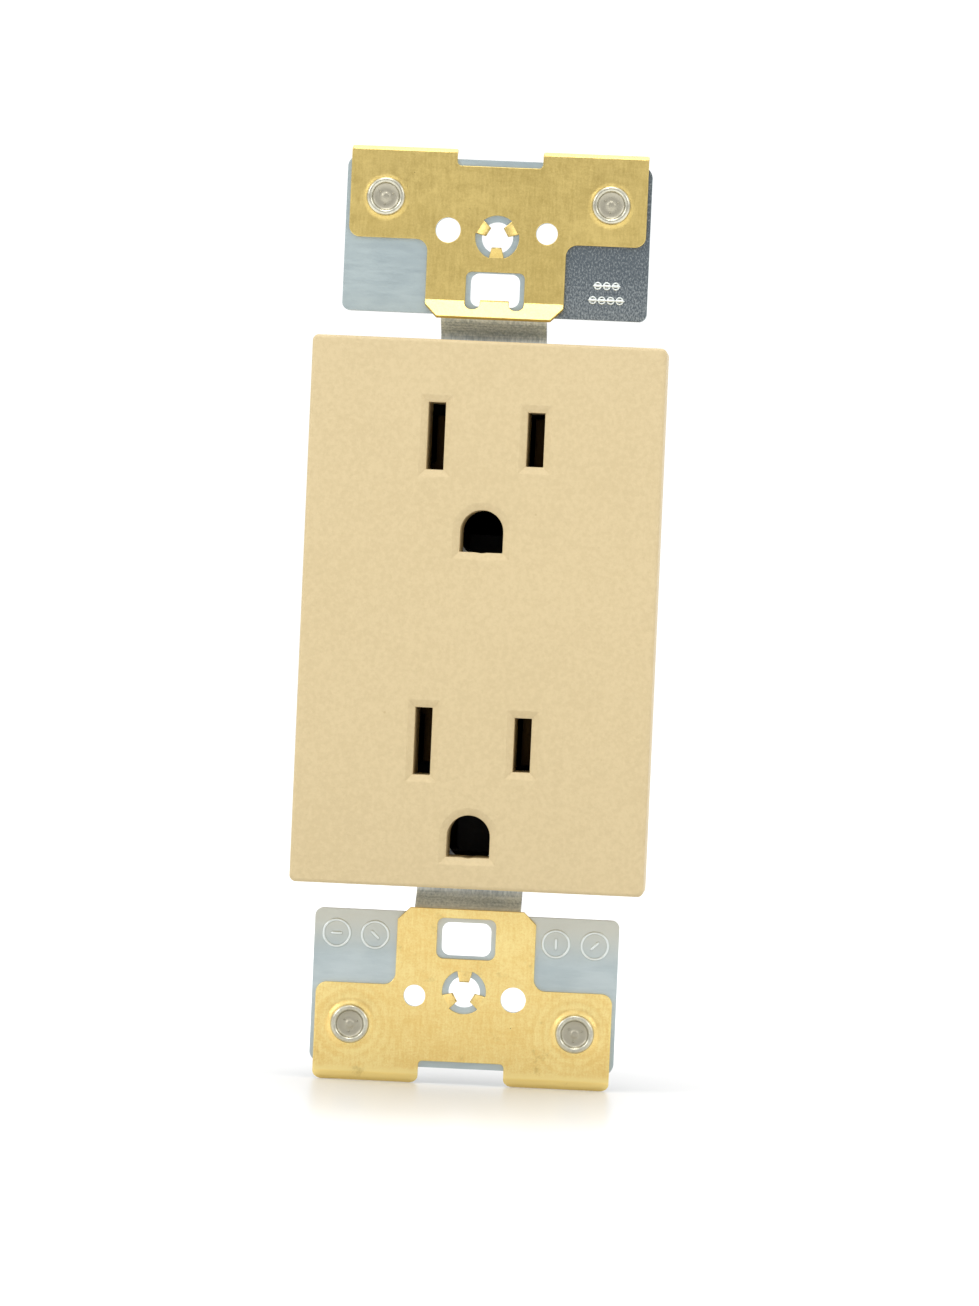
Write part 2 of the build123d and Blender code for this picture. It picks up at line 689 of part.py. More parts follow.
# Assembly screws from the rear of the housing into the cover's bosses
for level, z in (("upper", boss_z), ("lower", -boss_z)):
    for side, x in (("left", -boss_x), ("right", boss_x)):
        head_front_y = housing_rear_y - counterbore_depth
        with BuildPart() as assembly_screw:
            with BuildSketch(facing(head_front_y + long_screw_head_height, x, z)):
                Circle(long_screw_head_r)
            extrude(amount=long_screw_head_height)
            fillet(faces().sort_by(Axis.Y)[-1].edges(), 2 * bend_r)
            with BuildSketch(facing(head_front_y, x, z)):
                Circle(long_screw_r)
            extrude(amount=head_front_y - split_y + long_screw_reach)
            chamfer(faces().sort_by(Axis.Y)[0].edges(), bend_r)
            with BuildSketch(facing(head_front_y + long_screw_head_height, x, z)):
                for turn in (0, 90):
                    Rectangle(long_screw_head_r + long_screw_r, bend_r * 2, rotation=turn)
            extrude(amount=long_screw_head_height / 2, mode=Mode.SUBTRACT)
        finish(assembly_screw, f"assembly_screw_{level}_{side}")
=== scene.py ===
import json
import math

import bmesh
import bpy
from mathutils import Matrix, Vector

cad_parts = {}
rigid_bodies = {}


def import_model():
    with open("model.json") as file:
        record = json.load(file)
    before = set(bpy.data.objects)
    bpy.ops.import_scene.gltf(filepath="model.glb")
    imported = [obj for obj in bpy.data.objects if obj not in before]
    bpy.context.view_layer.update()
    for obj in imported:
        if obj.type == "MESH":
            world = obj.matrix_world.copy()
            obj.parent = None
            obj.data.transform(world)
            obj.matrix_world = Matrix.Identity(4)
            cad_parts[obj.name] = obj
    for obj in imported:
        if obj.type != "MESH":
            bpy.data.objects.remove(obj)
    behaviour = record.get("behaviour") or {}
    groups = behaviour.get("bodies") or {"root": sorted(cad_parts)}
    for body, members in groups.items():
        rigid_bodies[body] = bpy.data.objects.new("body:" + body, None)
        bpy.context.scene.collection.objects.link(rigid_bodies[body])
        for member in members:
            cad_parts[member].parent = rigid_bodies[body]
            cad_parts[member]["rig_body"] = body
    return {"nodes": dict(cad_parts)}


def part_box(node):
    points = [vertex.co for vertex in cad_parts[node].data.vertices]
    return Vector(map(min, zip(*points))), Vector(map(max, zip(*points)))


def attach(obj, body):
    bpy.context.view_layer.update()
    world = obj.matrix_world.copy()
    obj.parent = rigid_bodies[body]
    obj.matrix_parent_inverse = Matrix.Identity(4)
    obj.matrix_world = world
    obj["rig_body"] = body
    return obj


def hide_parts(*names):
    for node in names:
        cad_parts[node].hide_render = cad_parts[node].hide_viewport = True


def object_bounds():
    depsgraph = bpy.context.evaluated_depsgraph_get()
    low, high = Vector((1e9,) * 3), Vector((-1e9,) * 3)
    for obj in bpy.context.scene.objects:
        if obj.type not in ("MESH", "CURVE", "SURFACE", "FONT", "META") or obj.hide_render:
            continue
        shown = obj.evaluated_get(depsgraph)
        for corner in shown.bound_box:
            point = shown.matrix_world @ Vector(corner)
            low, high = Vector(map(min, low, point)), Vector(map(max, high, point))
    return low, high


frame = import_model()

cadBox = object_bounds()
scene = bpy.context.scene
mm = 0.001
rootBody = "outlet_body"


# small tools shared by every piece

def tone(red, green, blue):
    # a display colour as the linear one that shaders take
    def linear(level):
        level /= 255
        return level / 12.92 if level <= 0.04045 else ((level + 0.055) / 1.055) ** 2.4
    return (linear(red), linear(green), linear(blue), 1)


def socketOf(sockets, key):
    if isinstance(key, int):
        return sockets[key]
    for socket in sockets:
        if socket.identifier == key:
            return socket
    return sockets[key]


class Wire:
    # one output of a node, so that maths on it reads as plain Python
    def __init__(self, graph, socket):
        self.graph = graph
        self.socket = socket

    def maths(self, operation, *values):
        return self.graph.add("ShaderNodeMath", {"operation": operation}, dict(enumerate(values)))

    def __add__(self, other):
        return self.maths("ADD", self, other)

    def __sub__(self, other):
        return self.maths("SUBTRACT", self, other)

    def __rsub__(self, other):
        return self.maths("SUBTRACT", other, self)

    def __mul__(self, other):
        return self.maths("MULTIPLY", self, other)

    __radd__ = __add__
    __rmul__ = __mul__


class Graph:
    # a node tree with one way to add any node
    def __init__(self, tree):
        self.tree = tree

    def add(self, kind, settings=None, inputs=None, output=0):
        node = self.tree.nodes.new(kind)
        for name, value in (settings or {}).items():
            setattr(node, name, value)
        for key, value in (inputs or {}).items():
            socket = socketOf(node.inputs, key)
            if not isinstance(value, (Wire, list)):
                socket.default_value = value
                continue
            for part in value if isinstance(value, list) else [value]:
                self.tree.links.new(part.socket, socket)
        return Wire(self, socketOf(node.outputs, output))


class Finish(Graph):
    # a material: fixed values go straight on the surface's own sockets
    def __init__(self, name, **fixed):
        self.material = bpy.data.materials.new(name)
        self.material.use_nodes = True
        super().__init__(self.material.node_tree)
        self.surface = self.tree.nodes["Principled BSDF"]
        for key, value in fixed.items():
            self.surface.inputs[key].default_value = value
        self.place = self.add("ShaderNodeTexCoord", output="Object")
        self.axes = self.tree.nodes.new("ShaderNodeSeparateXYZ")
        self.tree.links.new(self.place.socket, self.axes.inputs[0])

    def along(self, axis):
        # millimetres along x, y or z
        return Wire(self, self.axes.outputs["XYZ".index(axis)]) * (1 / mm)

    def grain(self, period, detail=2.0, rough=0.5, stretch=(1, 1, 1), shift=(0, 0, 0), warp=0.0):
        # soft noise whose blotches are about one period, in millimetres, across
        place = self.add("ShaderNodeMapping", None, {
            "Vector": self.place, "Location": shift, "Scale": stretch})
        return self.add("ShaderNodeTexNoise", None, {
            "Vector": place, "Scale": 1 / (period * mm), "Detail": detail,
            "Roughness": rough, "Distortion": warp})

    def between(self, value, low, high, bottom=0.0, top=1.0):
        return self.add("ShaderNodeMapRange", {"interpolation_type": "SMOOTHSTEP"}, {
            "Value": value, "From Min": low, "From Max": high, "To Min": bottom, "To Max": top})

    def specks(self, period, size, shift=(0, 0, 0)):
        # scattered small spots, 1 inside each
        place = self.add("ShaderNodeMapping", None, {"Vector": self.place, "Location": shift})
        distance = self.add("ShaderNodeTexVoronoi", None, {
            "Vector": place, "Scale": 1 / (period * mm), "Randomness": 1.0}, "Distance")
        return self.between(distance, size, size * 0.5)

    def mix(self, mask, first, second):
        return self.add("ShaderNodeMix", {"data_type": "RGBA"}, {
            "Factor_Float": mask, "A_Color": first, "B_Color": second}, "Result_Color")

    def bump(self, height, distance, strength, under=None):
        inputs = {"Height": height, "Distance": distance * mm, "Strength": strength}
        if under:
            inputs["Normal"] = under
        return self.add("ShaderNodeBump", None, inputs)

    def wire(self, **links):
        for key, value in links.items():
            self.tree.links.new(value.socket, self.surface.inputs[key.replace("_", " ")])
        return self.material


def inScene(name, mesh):
    piece = bpy.data.objects.new(name, mesh)
    scene.collection.objects.link(piece)
    return piece


def settled(piece):
    # modifiers become plain mesh
    graph = bpy.context.evaluated_depsgraph_get()
    mesh = bpy.data.meshes.new_from_object(piece.evaluated_get(graph), depsgraph=graph)
    mesh.name = piece.name
    old = piece.data
    piece.modifiers.clear()
    piece.data = mesh
    if old.users == 0:
        bpy.data.meshes.remove(old)
    return piece


def smooth(piece, width, angle=24, segments=2):
    # a small round along every edge sharper than the angle, flats kept flat
    if width:
        bevel = piece.modifiers.new("round", "BEVEL")
        bevel.width = width * mm
        bevel.segments = segments
        bevel.limit_method = "ANGLE"
        bevel.angle_limit = math.radians(angle)
    for polygon in piece.data.polygons:
        polygon.use_smooth = True
    weighted = piece.modifiers.new("flat", "WEIGHTED_NORMAL")
    weighted.keep_sharp = True
    weighted.weight = 80
    return settled(piece)


def hand(piece, body, slot, material, *nodes):
    piece.data.materials.clear()
    piece.data.materials.append(material)
    for polygon in piece.data.polygons:
        polygon.material_index = 0
    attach(piece, body)
    if nodes:
        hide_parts(*nodes)
    print("made", piece.name, len(piece.data.polygons), "faces")


# finishes

def ivoryPlastic():
    finish = Finish("ivoryPlastic", **{"IOR": 1.46, "Specular IOR Level": 0.4})
    look = {"light": tone(207, 188, 147), "deep": tone(200, 181, 140), "speck": tone(176, 154, 110)}
    cloudy = finish.grain(14, 2, 0.5)
    fine = finish.grain(0.6, 3, 0.6)
    colour = finish.mix(finish.between(cloudy * 0.2 + fine * 0.8, 0.34, 0.66), look["deep"], look["light"])
    colour = finish.mix(finish.specks(6.5, 0.03) * 0.4, colour, look["speck"])
    pebble = finish.grain(0.5, 2, 0.55)
    sink = finish.grain(18, 1, 0.4)
    normal = finish.bump(pebble, 0.1, 0.6, finish.bump(sink, 0.3, 0.12))
    rough = finish.between(fine * 0.5 + pebble * 0.5, 0.3, 0.7, 0.42, 0.58)
    return finish.wire(Base_Color=colour, Roughness=rough, Normal=normal)


def darkPlastic():
    finish = Finish("darkPlastic", **{"IOR": 1.5})
    look = {"light": tone(58, 50, 44), "deep": tone(38, 32, 28), "dust": tone(96, 86, 76)}
    cloudy = finish.grain(9, 4, 0.6)
    fine = finish.grain(0.5, 3, 0.6)
    flow = finish.grain(2.6, 3, 0.6)
    colour = finish.mix(finish.between(cloudy * 0.5 + flow * 0.5, 0.35, 0.65), look["deep"], look["light"])
    colour = finish.mix(finish.specks(3.1, 0.05) * 0.35, colour, look["dust"])
    normal = finish.bump(fine, 0.05, 0.4, finish.bump(flow, 0.2, 0.25))
    rough = finish.between(fine * 0.4 + cloudy * 0.6, 0.3, 0.7, 0.38, 0.6)
    return finish.wire(Base_Color=colour, Roughness=rough, Normal=normal)


def zincSteel():
    finish = Finish("zincSteel")
    look = {"light": tone(186, 199, 201), "deep": tone(172, 186, 190),
            "lowerEarLitLight": tone(200, 211, 213), "lowerEarLitDeep": tone(180, 193, 196), "warm": tone(210, 208, 194),
            "burnt": tone(80, 88, 96), "glint": tone(158, 164, 166), "raisedHighlight": tone(226, 232, 230),
            "litNeckLight": tone(246, 252, 255), "litNeckDeep": tone(160, 174, 186)}
    cloudy = finish.grain(9, 2, 0.5)
    across = finish.grain(0.7, 4, 0.65, stretch=(0.2, 1, 1))
    drawn = finish.grain(0.36, 4, 0.7, stretch=(1, 1, 0.05))
    spangle = finish.grain(0.2, 3, 0.7, stretch=(1, 1, 0.6))
    height = finish.along("Z")
    neck = finish.between(height.maths("ABSOLUTE", height), 38.3, 37.7)
    banded = finish.grain(0.5, 3, 0.7, stretch=(0.02, 1, 1))
    lined = across * (1 - neck) + (drawn * 0.55 + banded * 0.45) * neck
    shade = lined * (neck * 0.5 + 0.4) + cloudy * (0.6 - neck * 0.5)
    shade = finish.between(shade, 0.34, 0.66)
    # the lower ear is painted lighter than the upper one: lit and shaded copies of the same steel, for how
    # the light falls on each
    low = finish.between(height, 0, -20)
    colour = finish.mix(low, finish.mix(shade, look["deep"], look["light"]),
                        finish.mix(shade, look["lowerEarLitDeep"], look["lowerEarLitLight"]))
    # the neck between the ears, recessed and shaded by the cover, is painted far lighter than the ears:
    # painted light standing in for the light and reflections it gets
    colour = finish.mix(neck, colour, finish.mix(shade, look["litNeckDeep"], look["litNeckLight"]))
    # the lower ear is duller and warmer towards the neck
    warm = finish.between(height, -45, -39) * finish.between(height, -37, -38)
    colour = finish.mix(warm * 0.8, colour, look["warm"])
    # one ear is burnished darker, with bright grains left in it
    corner = finish.between(finish.along("X"), 7.5, 8.6) * finish.between(height, 37.5, 38.3)
    corner = corner * finish.between(finish.along("Y"), -1.0, -1.15)
    fade = finish.between(height, 38.5, 47, 0.35, 0.0)
    dark = finish.mix(finish.between(spangle + fade * 0.2, 0.46, 0.72), look["burnt"], look["glint"])
    colour = finish.mix(corner * 0.9, colour, dark)
    # what stands proud of the ear faces is painted lighter, a painted highlight for the light the stamped
    # relief catches
    colour = finish.mix(finish.between(finish.along("Y"), -1.25, -1.33), colour, look["raisedHighlight"])
    normal = finish.bump(lined, 0.03, 0.4, finish.bump(cloudy, 0.2, 0.15))
    rough = finish.between(lined * 0.7 + spangle * 0.3, 0.3, 0.7, 0.38, 0.54)
    metal = finish.between(neck + lined * 0.1, 0.0, 1.1, 0.9, 0.4)
    return finish.wire(Base_Color=colour, Roughness=rough, Metallic=metal, Normal=normal)


def clipBrass():
    finish = Finish("clipBrass", Metallic=1.0)
    look = {"upperLight": tone(226, 202, 130), "upperDeep": tone(206, 181, 108),
            "lowerLight": tone(255, 233, 160), "lowerDeep": tone(240, 205, 126), "lipFloorReflection": tone(255, 232, 158),
            "smudge": tone(178, 150, 84), "speck": tone(110, 86, 50)}
    fine = finish.grain(0.22, 3, 0.65)
    brushed = finish.grain(0.3, 4, 0.65, stretch=(1, 1, 0.14))
    wiped = finish.grain(1.1, 4, 0.7, stretch=(0.35, 1, 1), warp=1.2)
    cloudy = finish.grain(9, 4, 0.6, warp=0.6)
    # turned lines spread from the rivets of the lower plate
    across = finish.along("X")
    height = finish.along("Z")
    lower = finish.between(height, 2, -2)
    beside = across.maths("ABSOLUTE", across) - 14.45
    reach = beside * beside + (height + 53.1) * (height + 53.1)
    reach = reach.maths("SQRT", reach)
    rings = reach * 5.2 + wiped * 3
    rings = rings.maths("SINE", rings) * finish.between(reach, 8, 3.2) * lower
    shade = fine * 0.3 + brushed * 0.25 + wiped * 0.2 + cloudy * 0.25 + rings * 0.03
    shade = finish.between(shade, 0.37, 0.63)
    # the upper plate is painted darker and the lower plate lighter: shaded and lit copies of the same brass,
    # for how the light falls on each
    upperShadedTone = finish.mix(shade, look["upperDeep"], look["upperLight"])
    lowerLitTone = finish.mix(shade, look["lowerDeep"], look["lowerLight"])
    colour = finish.mix(lower, upperShadedTone, lowerLitTone)
    # the lower plate's bent-back lip is painted brighter, a painted reflection of the bright floor in front
    # of it
    colour = finish.mix(finish.between(height, -58.2, -59) * 0.9, colour, look["lipFloorReflection"])
    handled = finish.between(finish.grain(3.4, 5, 0.7, shift=(5, 2, 8)), 0.6, 0.76)
    colour = finish.mix(handled * 0.45, colour, look["smudge"])
    colour = finish.mix(finish.specks(3.6, 0.03) * 0.8, colour, look["speck"])
    worked = fine * 0.4 + brushed * 0.3 + rings * 0.3
    normal = finish.bump(worked, 0.035, 0.5, finish.bump(cloudy, 0.3, 0.25))
    rough = finish.between(brushed * 0.4 + wiped * 0.3 + cloudy * 0.3, 0.3, 0.7, 0.3, 0.44)
    return finish.wire(Base_Color=colour, Roughness=rough, Normal=normal)


def rivetNickel():
    finish = Finish("rivetNickel", Metallic=1.0)
    look = {"bright": tone(214, 212, 194), "dull": tone(192, 188, 170), "floor": tone(174, 169, 152)}
    fine = finish.grain(0.3, 3, 0.6)
    cloudy = finish.grain(1.6, 3, 0.6)
    sunk = finish.between(finish.along("Y"), -2.35, -2.2)
    colour = finish.mix(finish.between(cloudy * 0.5 + fine * 0.5, 0.35, 0.65), look["dull"], look["bright"])
    # the sunk floor of the head's recess is painted darker, painted shade for the recess under the rim
    colour = finish.mix(sunk * 0.85, colour, look["floor"])
    normal = finish.bump(fine, 0.01, 0.25, finish.bump(cloudy, 0.03, 0.2))
    rough = finish.between(fine * 0.6 + sunk * 0.4, 0.2, 0.8, 0.28, 0.42)
    return finish.wire(Base_Color=colour, Roughness=rough, Normal=normal)


def metalFinish(name, light, deep, stain, period, rough, lines=(1, 1, 1), inner=None):
    # drawn or turned metal with fine lines, soft clouding and stains; where an inner tone is given, it is
    # painted on well inside the body as painted shade
    finish = Finish(name, Metallic=1.0)
    drawn = finish.grain(period, 4, 0.65, stretch=lines)
    cloudy = finish.grain(period * 9, 3, 0.6)
    stained = finish.between(finish.grain(period * 5, 4, 0.7, shift=(4, 7, 1)), 0.6, 0.72)
    colour = finish.mix(finish.between(drawn * 0.5 + cloudy * 0.5, 0.35, 0.65), deep, light)
    colour = finish.mix(stained * 0.5, colour, stain)
    if inner:
        across = finish.along("X")
        # painted shade: a dark tone well inside the body, where little light reaches
        insideShade = finish.between(across.maths("ABSOLUTE", across), 16, 14)
        colour = finish.mix(insideShade * 0.96, colour, inner)
    normal = finish.bump(drawn, 0.02, 0.45, finish.bump(cloudy, 0.1, 0.25))
    roughness = finish.between(drawn * 0.6 + cloudy * 0.4, 0.3, 0.7, rough - 0.06, rough + 0.1)
    return finish.wire(Base_Color=colour, Roughness=roughness, Normal=normal)


def greenFinish():
    # green dye over plated steel, rubbed through on the raised corners
    finish = Finish("screwGreen", Metallic=0.85)
    look = {"light": tone(52, 128, 74), "deep": tone(24, 84, 48), "worn": tone(150, 160, 140)}
    fine = finish.grain(0.3, 4, 0.7)
    cloudy = finish.grain(1.8, 4, 0.65)
    rubbed = finish.between(finish.grain(1.1, 5, 0.7, shift=(2, 2, 6)), 0.6, 0.7)
    colour = finish.mix(finish.between(cloudy, 0.35, 0.65), look["deep"], look["light"])
    colour = finish.mix(rubbed * 0.6, colour, look["worn"])
    normal = finish.bump(fine, 0.02, 0.5)
    rough = finish.between(fine * 0.5 + cloudy * 0.5, 0.3, 0.7, 0.28, 0.46)
    return finish.wire(Base_Color=colour, Roughness=rough, Normal=normal)


finishes = {
    "ivory_plastic": ivoryPlastic(),
    "dark_plastic": darkPlastic(),
    "zinc_steel": zincSteel(),
    "clip_brass": clipBrass(),
    "rivet_nickel": rivetNickel(),
    # contact brass is given a dark inner tone, painted shade well inside the body
    "contact_brass": metalFinish("contactBrass", tone(222, 190, 110), tone(196, 158, 82),
                                 tone(150, 112, 62), 0.35, 0.36, (1, 0.12, 1), tone(58, 40, 24)),
    "screw_brass": metalFinish("screwBrass", tone(228, 196, 112), tone(200, 164, 84),
                               tone(140, 108, 60), 0.3, 0.3),
    "screw_nickel": metalFinish("screwNickel", tone(224, 222, 214), tone(188, 184, 176),
                                tone(140, 132, 120), 0.3, 0.3),
    "screw_steel": metalFinish("screwSteel", tone(206, 208, 210), tone(164, 168, 174),
                               tone(118, 112, 104), 0.3, 0.36),
    "clamp_steel": metalFinish("clampSteel", tone(204, 208, 208), tone(170, 174, 178),
                               tone(136, 130, 118), 0.35, 0.4, (1, 0.15, 1)),
    "screw_green": greenFinish(),
}
print("finishes ready", len(finishes))


# moulded and pressed parts whose edges get their small rounds

softEdges = {
    "front_cover": ("cover_moulding", "ivory_plastic", 0.14, 3),
    "rear_housing": ("housing_moulding", "dark_plastic", 0.16, 2),
    "mounting_strap": ("strap_pressing", "zinc_steel", 0.12, 2),
    "line_contact_strip": ("line_strip_pressing", "contact_brass", 0.1, 2),
    "neutral_contact_strip": ("neutral_strip_pressing", "contact_brass", 0.1, 2),
    "ground_contact_upper": ("upper_ground_pressing", "contact_brass", 0.08, 2),
    "ground_contact_lower": ("lower_ground_pressing", "contact_brass", 0.08, 2),
    "ground_contact_rivets": ("ground_rivet_heads", "contact_brass", 0.08, 2),
    "line_clamp_upper": ("line_upper_clamp_pressing", "clamp_steel", 0.1, 2),
    "line_clamp_lower": ("line_lower_clamp_pressing", "clamp_steel", 0.1, 2),
    "neutral_clamp_upper": ("neutral_upper_clamp_pressing", "clamp_steel", 0.1, 2),
    "neutral_clamp_lower": ("neutral_lower_clamp_pressing", "clamp_steel", 0.1, 2),
    "ground_clamp": ("ground_clamp_pressing", "clamp_steel", 0.1, 2),
}


def softened(node, name, width, segments):
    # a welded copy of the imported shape, with its flats made whole again
    mesh = bpy.data.meshes.new(name)
    work = bmesh.new()
    work.from_mesh(frame["nodes"][node].data)
    bmesh.ops.remove_doubles(work, verts=work.verts, dist=2e-7)
    bmesh.ops.dissolve_limit(work, angle_limit=math.radians(0.5), verts=work.verts, edges=work.edges)
    work.to_mesh(mesh)
    work.free()
    return smooth(inScene(name, mesh), width, segments=segments)


for node, (name, slot, width, segments) in softEdges.items():
    hand(softened(node, name, width, segments), frame["nodes"][node]["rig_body"], slot, finishes[slot], node)


# sheet metal: a flat outline with holes, folded where the press folds it

def rounded(corners, step=0.16):
    # corners are (x, z, radius); each becomes an arc
    points = []
    count = len(corners)
    for index, (x, z, radius) in enumerate(corners):
        here = Vector((x, z))
        back = Vector(corners[index - 1][:2]) - here
        ahead = Vector(corners[(index + 1) % count][:2]) - here
        if radius < 0.01:
            points.append((x, z))
            continue
        back.normalize()
        ahead.normalize()
        half = back.angle(ahead) / 2
        reach = radius / math.tan(half)
        start, end = here + back * reach, here + ahead * reach
        centre = here + (back + ahead).normalized() * (radius / math.sin(half))
        first, last = start - centre, end - centre
        turn = first.angle_signed(last)
        pieces = max(3, round(abs(turn) * radius / step))
        for part in range(pieces + 1):
            angle = -turn * part / pieces
            cosine, sine = math.cos(angle), math.sin(angle)
            points.append((centre.x + first.x * cosine - first.y * sine,
                           centre.y + first.x * sine + first.y * cosine))
    return points


def circle(x, z, radius, count=48):
    return [(x + radius * math.cos(2 * math.pi * k / count), z + radius * math.sin(2 * math.pi * k / count))
            for k in range(count)]


def sheet(name, loops, thickness, frontY, edge):
    # millimetres in, a welded closed bmesh out
    curve = bpy.data.curves.new(name, "CURVE")
    curve.dimensions = "2D"
    curve.fill_mode = "BOTH"
    curve.extrude = thickness / 2 - edge
    curve.bevel_depth = edge
    curve.bevel_resolution = 1
    curve.offset = -edge
    for loop in loops:
        spline = curve.splines.new("POLY")
        spline.points.add(len(loop) - 1)
        for point, (x, z) in zip(spline.points, loop):
            point.co = (x, z, 0, 1)
        spline.use_cyclic_u = True
    holder = inScene(name + "Outline", curve)
    graph = bpy.context.evaluated_depsgraph_get()
    mesh = bpy.data.meshes.new_from_object(holder.evaluated_get(graph), depsgraph=graph)
    bpy.data.objects.remove(holder)
    bpy.data.curves.remove(curve)
    work = bmesh.new()
    work.from_mesh(mesh)
    bpy.data.meshes.remove(mesh)
    bmesh.ops.remove_doubles(work, verts=work.verts, dist=1e-4)
    stand = Matrix.Translation((0, frontY + thickness / 2, 0)) @ Matrix.Rotation(math.pi / 2, 4, "X")
    bmesh.ops.transform(work, matrix=stand, verts=work.verts)
    bmesh.ops.recalc_face_normals(work, faces=work.faces)
    return work


def cut(work, place, direction, faces=None):
    faces = faces or work.faces[:]
    edges = list({edge for face in faces for edge in face.edges})
    points = list({point for face in faces for point in face.verts})
    bmesh.ops.bisect_plane(work, geom=points + edges + faces, plane_co=place, plane_no=direction, dist=1e-5)


def fold(work, line, direction, frontY, radius, degrees, chosen, steps=5):
    # turns what lies beyond the line; positive degrees go towards the wall. The front keeps its length
    angle = math.radians(abs(degrees))
    side = 1 if degrees > 0 else -1
    arc = radius * angle
    direction = Vector(direction)
    line = Vector(line)
    cut(work, line - direction * 0.12, direction)
    cut(work, line, direction)
    for step in [*range(1, steps + 1), steps + 0.12 * steps / arc]:
        faces = [face for face in work.faces if all(chosen(point.co) for point in face.verts)]
        cut(work, line + direction * arc * step / steps, direction, faces)
    for point in work.verts:
        beyond = (point.co - line).dot(direction)
        if beyond <= 0 or not chosen(point.co):
            continue
        turn = min(beyond, arc) / radius
        rest = max(beyond - arc, 0)
        reach = radius - side * (point.co.y - frontY)
        ahead = reach * math.sin(turn) + rest * math.cos(turn)
        deep = side * (radius - reach * math.cos(turn) + rest * math.sin(turn))
        point.co = point.co + direction * (ahead - beyond)
        point.co.y = frontY + deep


clip = {
    "thickness": 0.5, "edge": 0.07, "width": 38.1, "wingZ": 47.85, "wingCorner": 1.4, "inner": 1.5,
    "lipZ": 59.2, "lipLength": 1.5, "notchWidth": 11.0, "notchZ": 57.45, "notchCorner": 0.55,
    "tongueWidth": 17.8, "tongueEnd": 37.8, "chamfer": 1.6,
    "gripZ": 48.42, "gripRadius": 2.83, "gripTip": 1.49, "gripRoot": 1.9, "gripEnd": 1.25, "gripBend": -27,
    "gripTurns": (-90, 30, 150), "locateX": 6.35, "locateZ": 49.15, "wide": 1.62, "narrow": 1.4,
    "rivetHole": 1.65, "swell": 0.05, "swellRadius": 5.2,
}
clipSides = {
    "top": {"sign": 1, "lipBend": 72, "lipRadius": 0.3, "lipCorner": 0.35, "collar": 0.2,
            "collarRadius": 2.95, "stripFold": 40.2, "stripLength": 2.6, "stripBend": -35,
            "windowTop": 43.95, "windowWidth": 7.55, "tabWidth": 3.7, "slotEnd": 39.1},
    "bottom": {"sign": -1, "lipBend": 38, "lipRadius": 0.36, "lipCorner": 1.15, "collar": 0.28,
               "collarRadius": 3.3,
               "windowZ": 41.6, "windowWidth": 7.57,
               "windowHeight": 5.2, "windowCorner": 0.9},
}


def flatFaced(mesh):
    # faces that share their direction with much of the sheet are flats, all others are rounds
    spread = {}
    for polygon in mesh.polygons:
        key = tuple(round(part, 2) for part in polygon.normal)
        spread.setdefault(key, []).append(polygon)
    for faces in spread.values():
        flat = sum(polygon.area for polygon in faces) > 4 * mm * mm
        for polygon in faces:
            polygon.use_smooth = not flat


def gripLoop():
    # round hole with three tabs left standing in it, in the flat
    zone = []
    for turn in clip["gripTurns"]:
        middle = math.radians(turn)
        half = math.asin(clip["gripRoot"] / 2 / clip["gripRadius"])
        outward = Vector((math.cos(middle), math.sin(middle)))
        across = Vector((-outward.y, outward.x))
        base = math.sqrt(clip["gripRadius"] ** 2 - (clip["gripRoot"] / 2) ** 2)
        reach = base - (base - clip["gripTip"]) / math.cos(math.radians(clip["gripBend"]))
        root, end = across * clip["gripRoot"] / 2, across * clip["gripEnd"] / 2
        heel, tip = outward * base, outward * reach
        for spot in (heel - root, tip - end, tip + end, heel + root):
            zone.append((spot.x, spot.y))
        gap = math.radians(120) - 2 * half
        for step in range(1, 14):
            angle = middle + half + gap * step / 14
            zone.append((clip["gripRadius"] * math.cos(angle), clip["gripRadius"] * math.sin(angle)))
    return [(x, z + clip["gripZ"]) for x, z in zone]


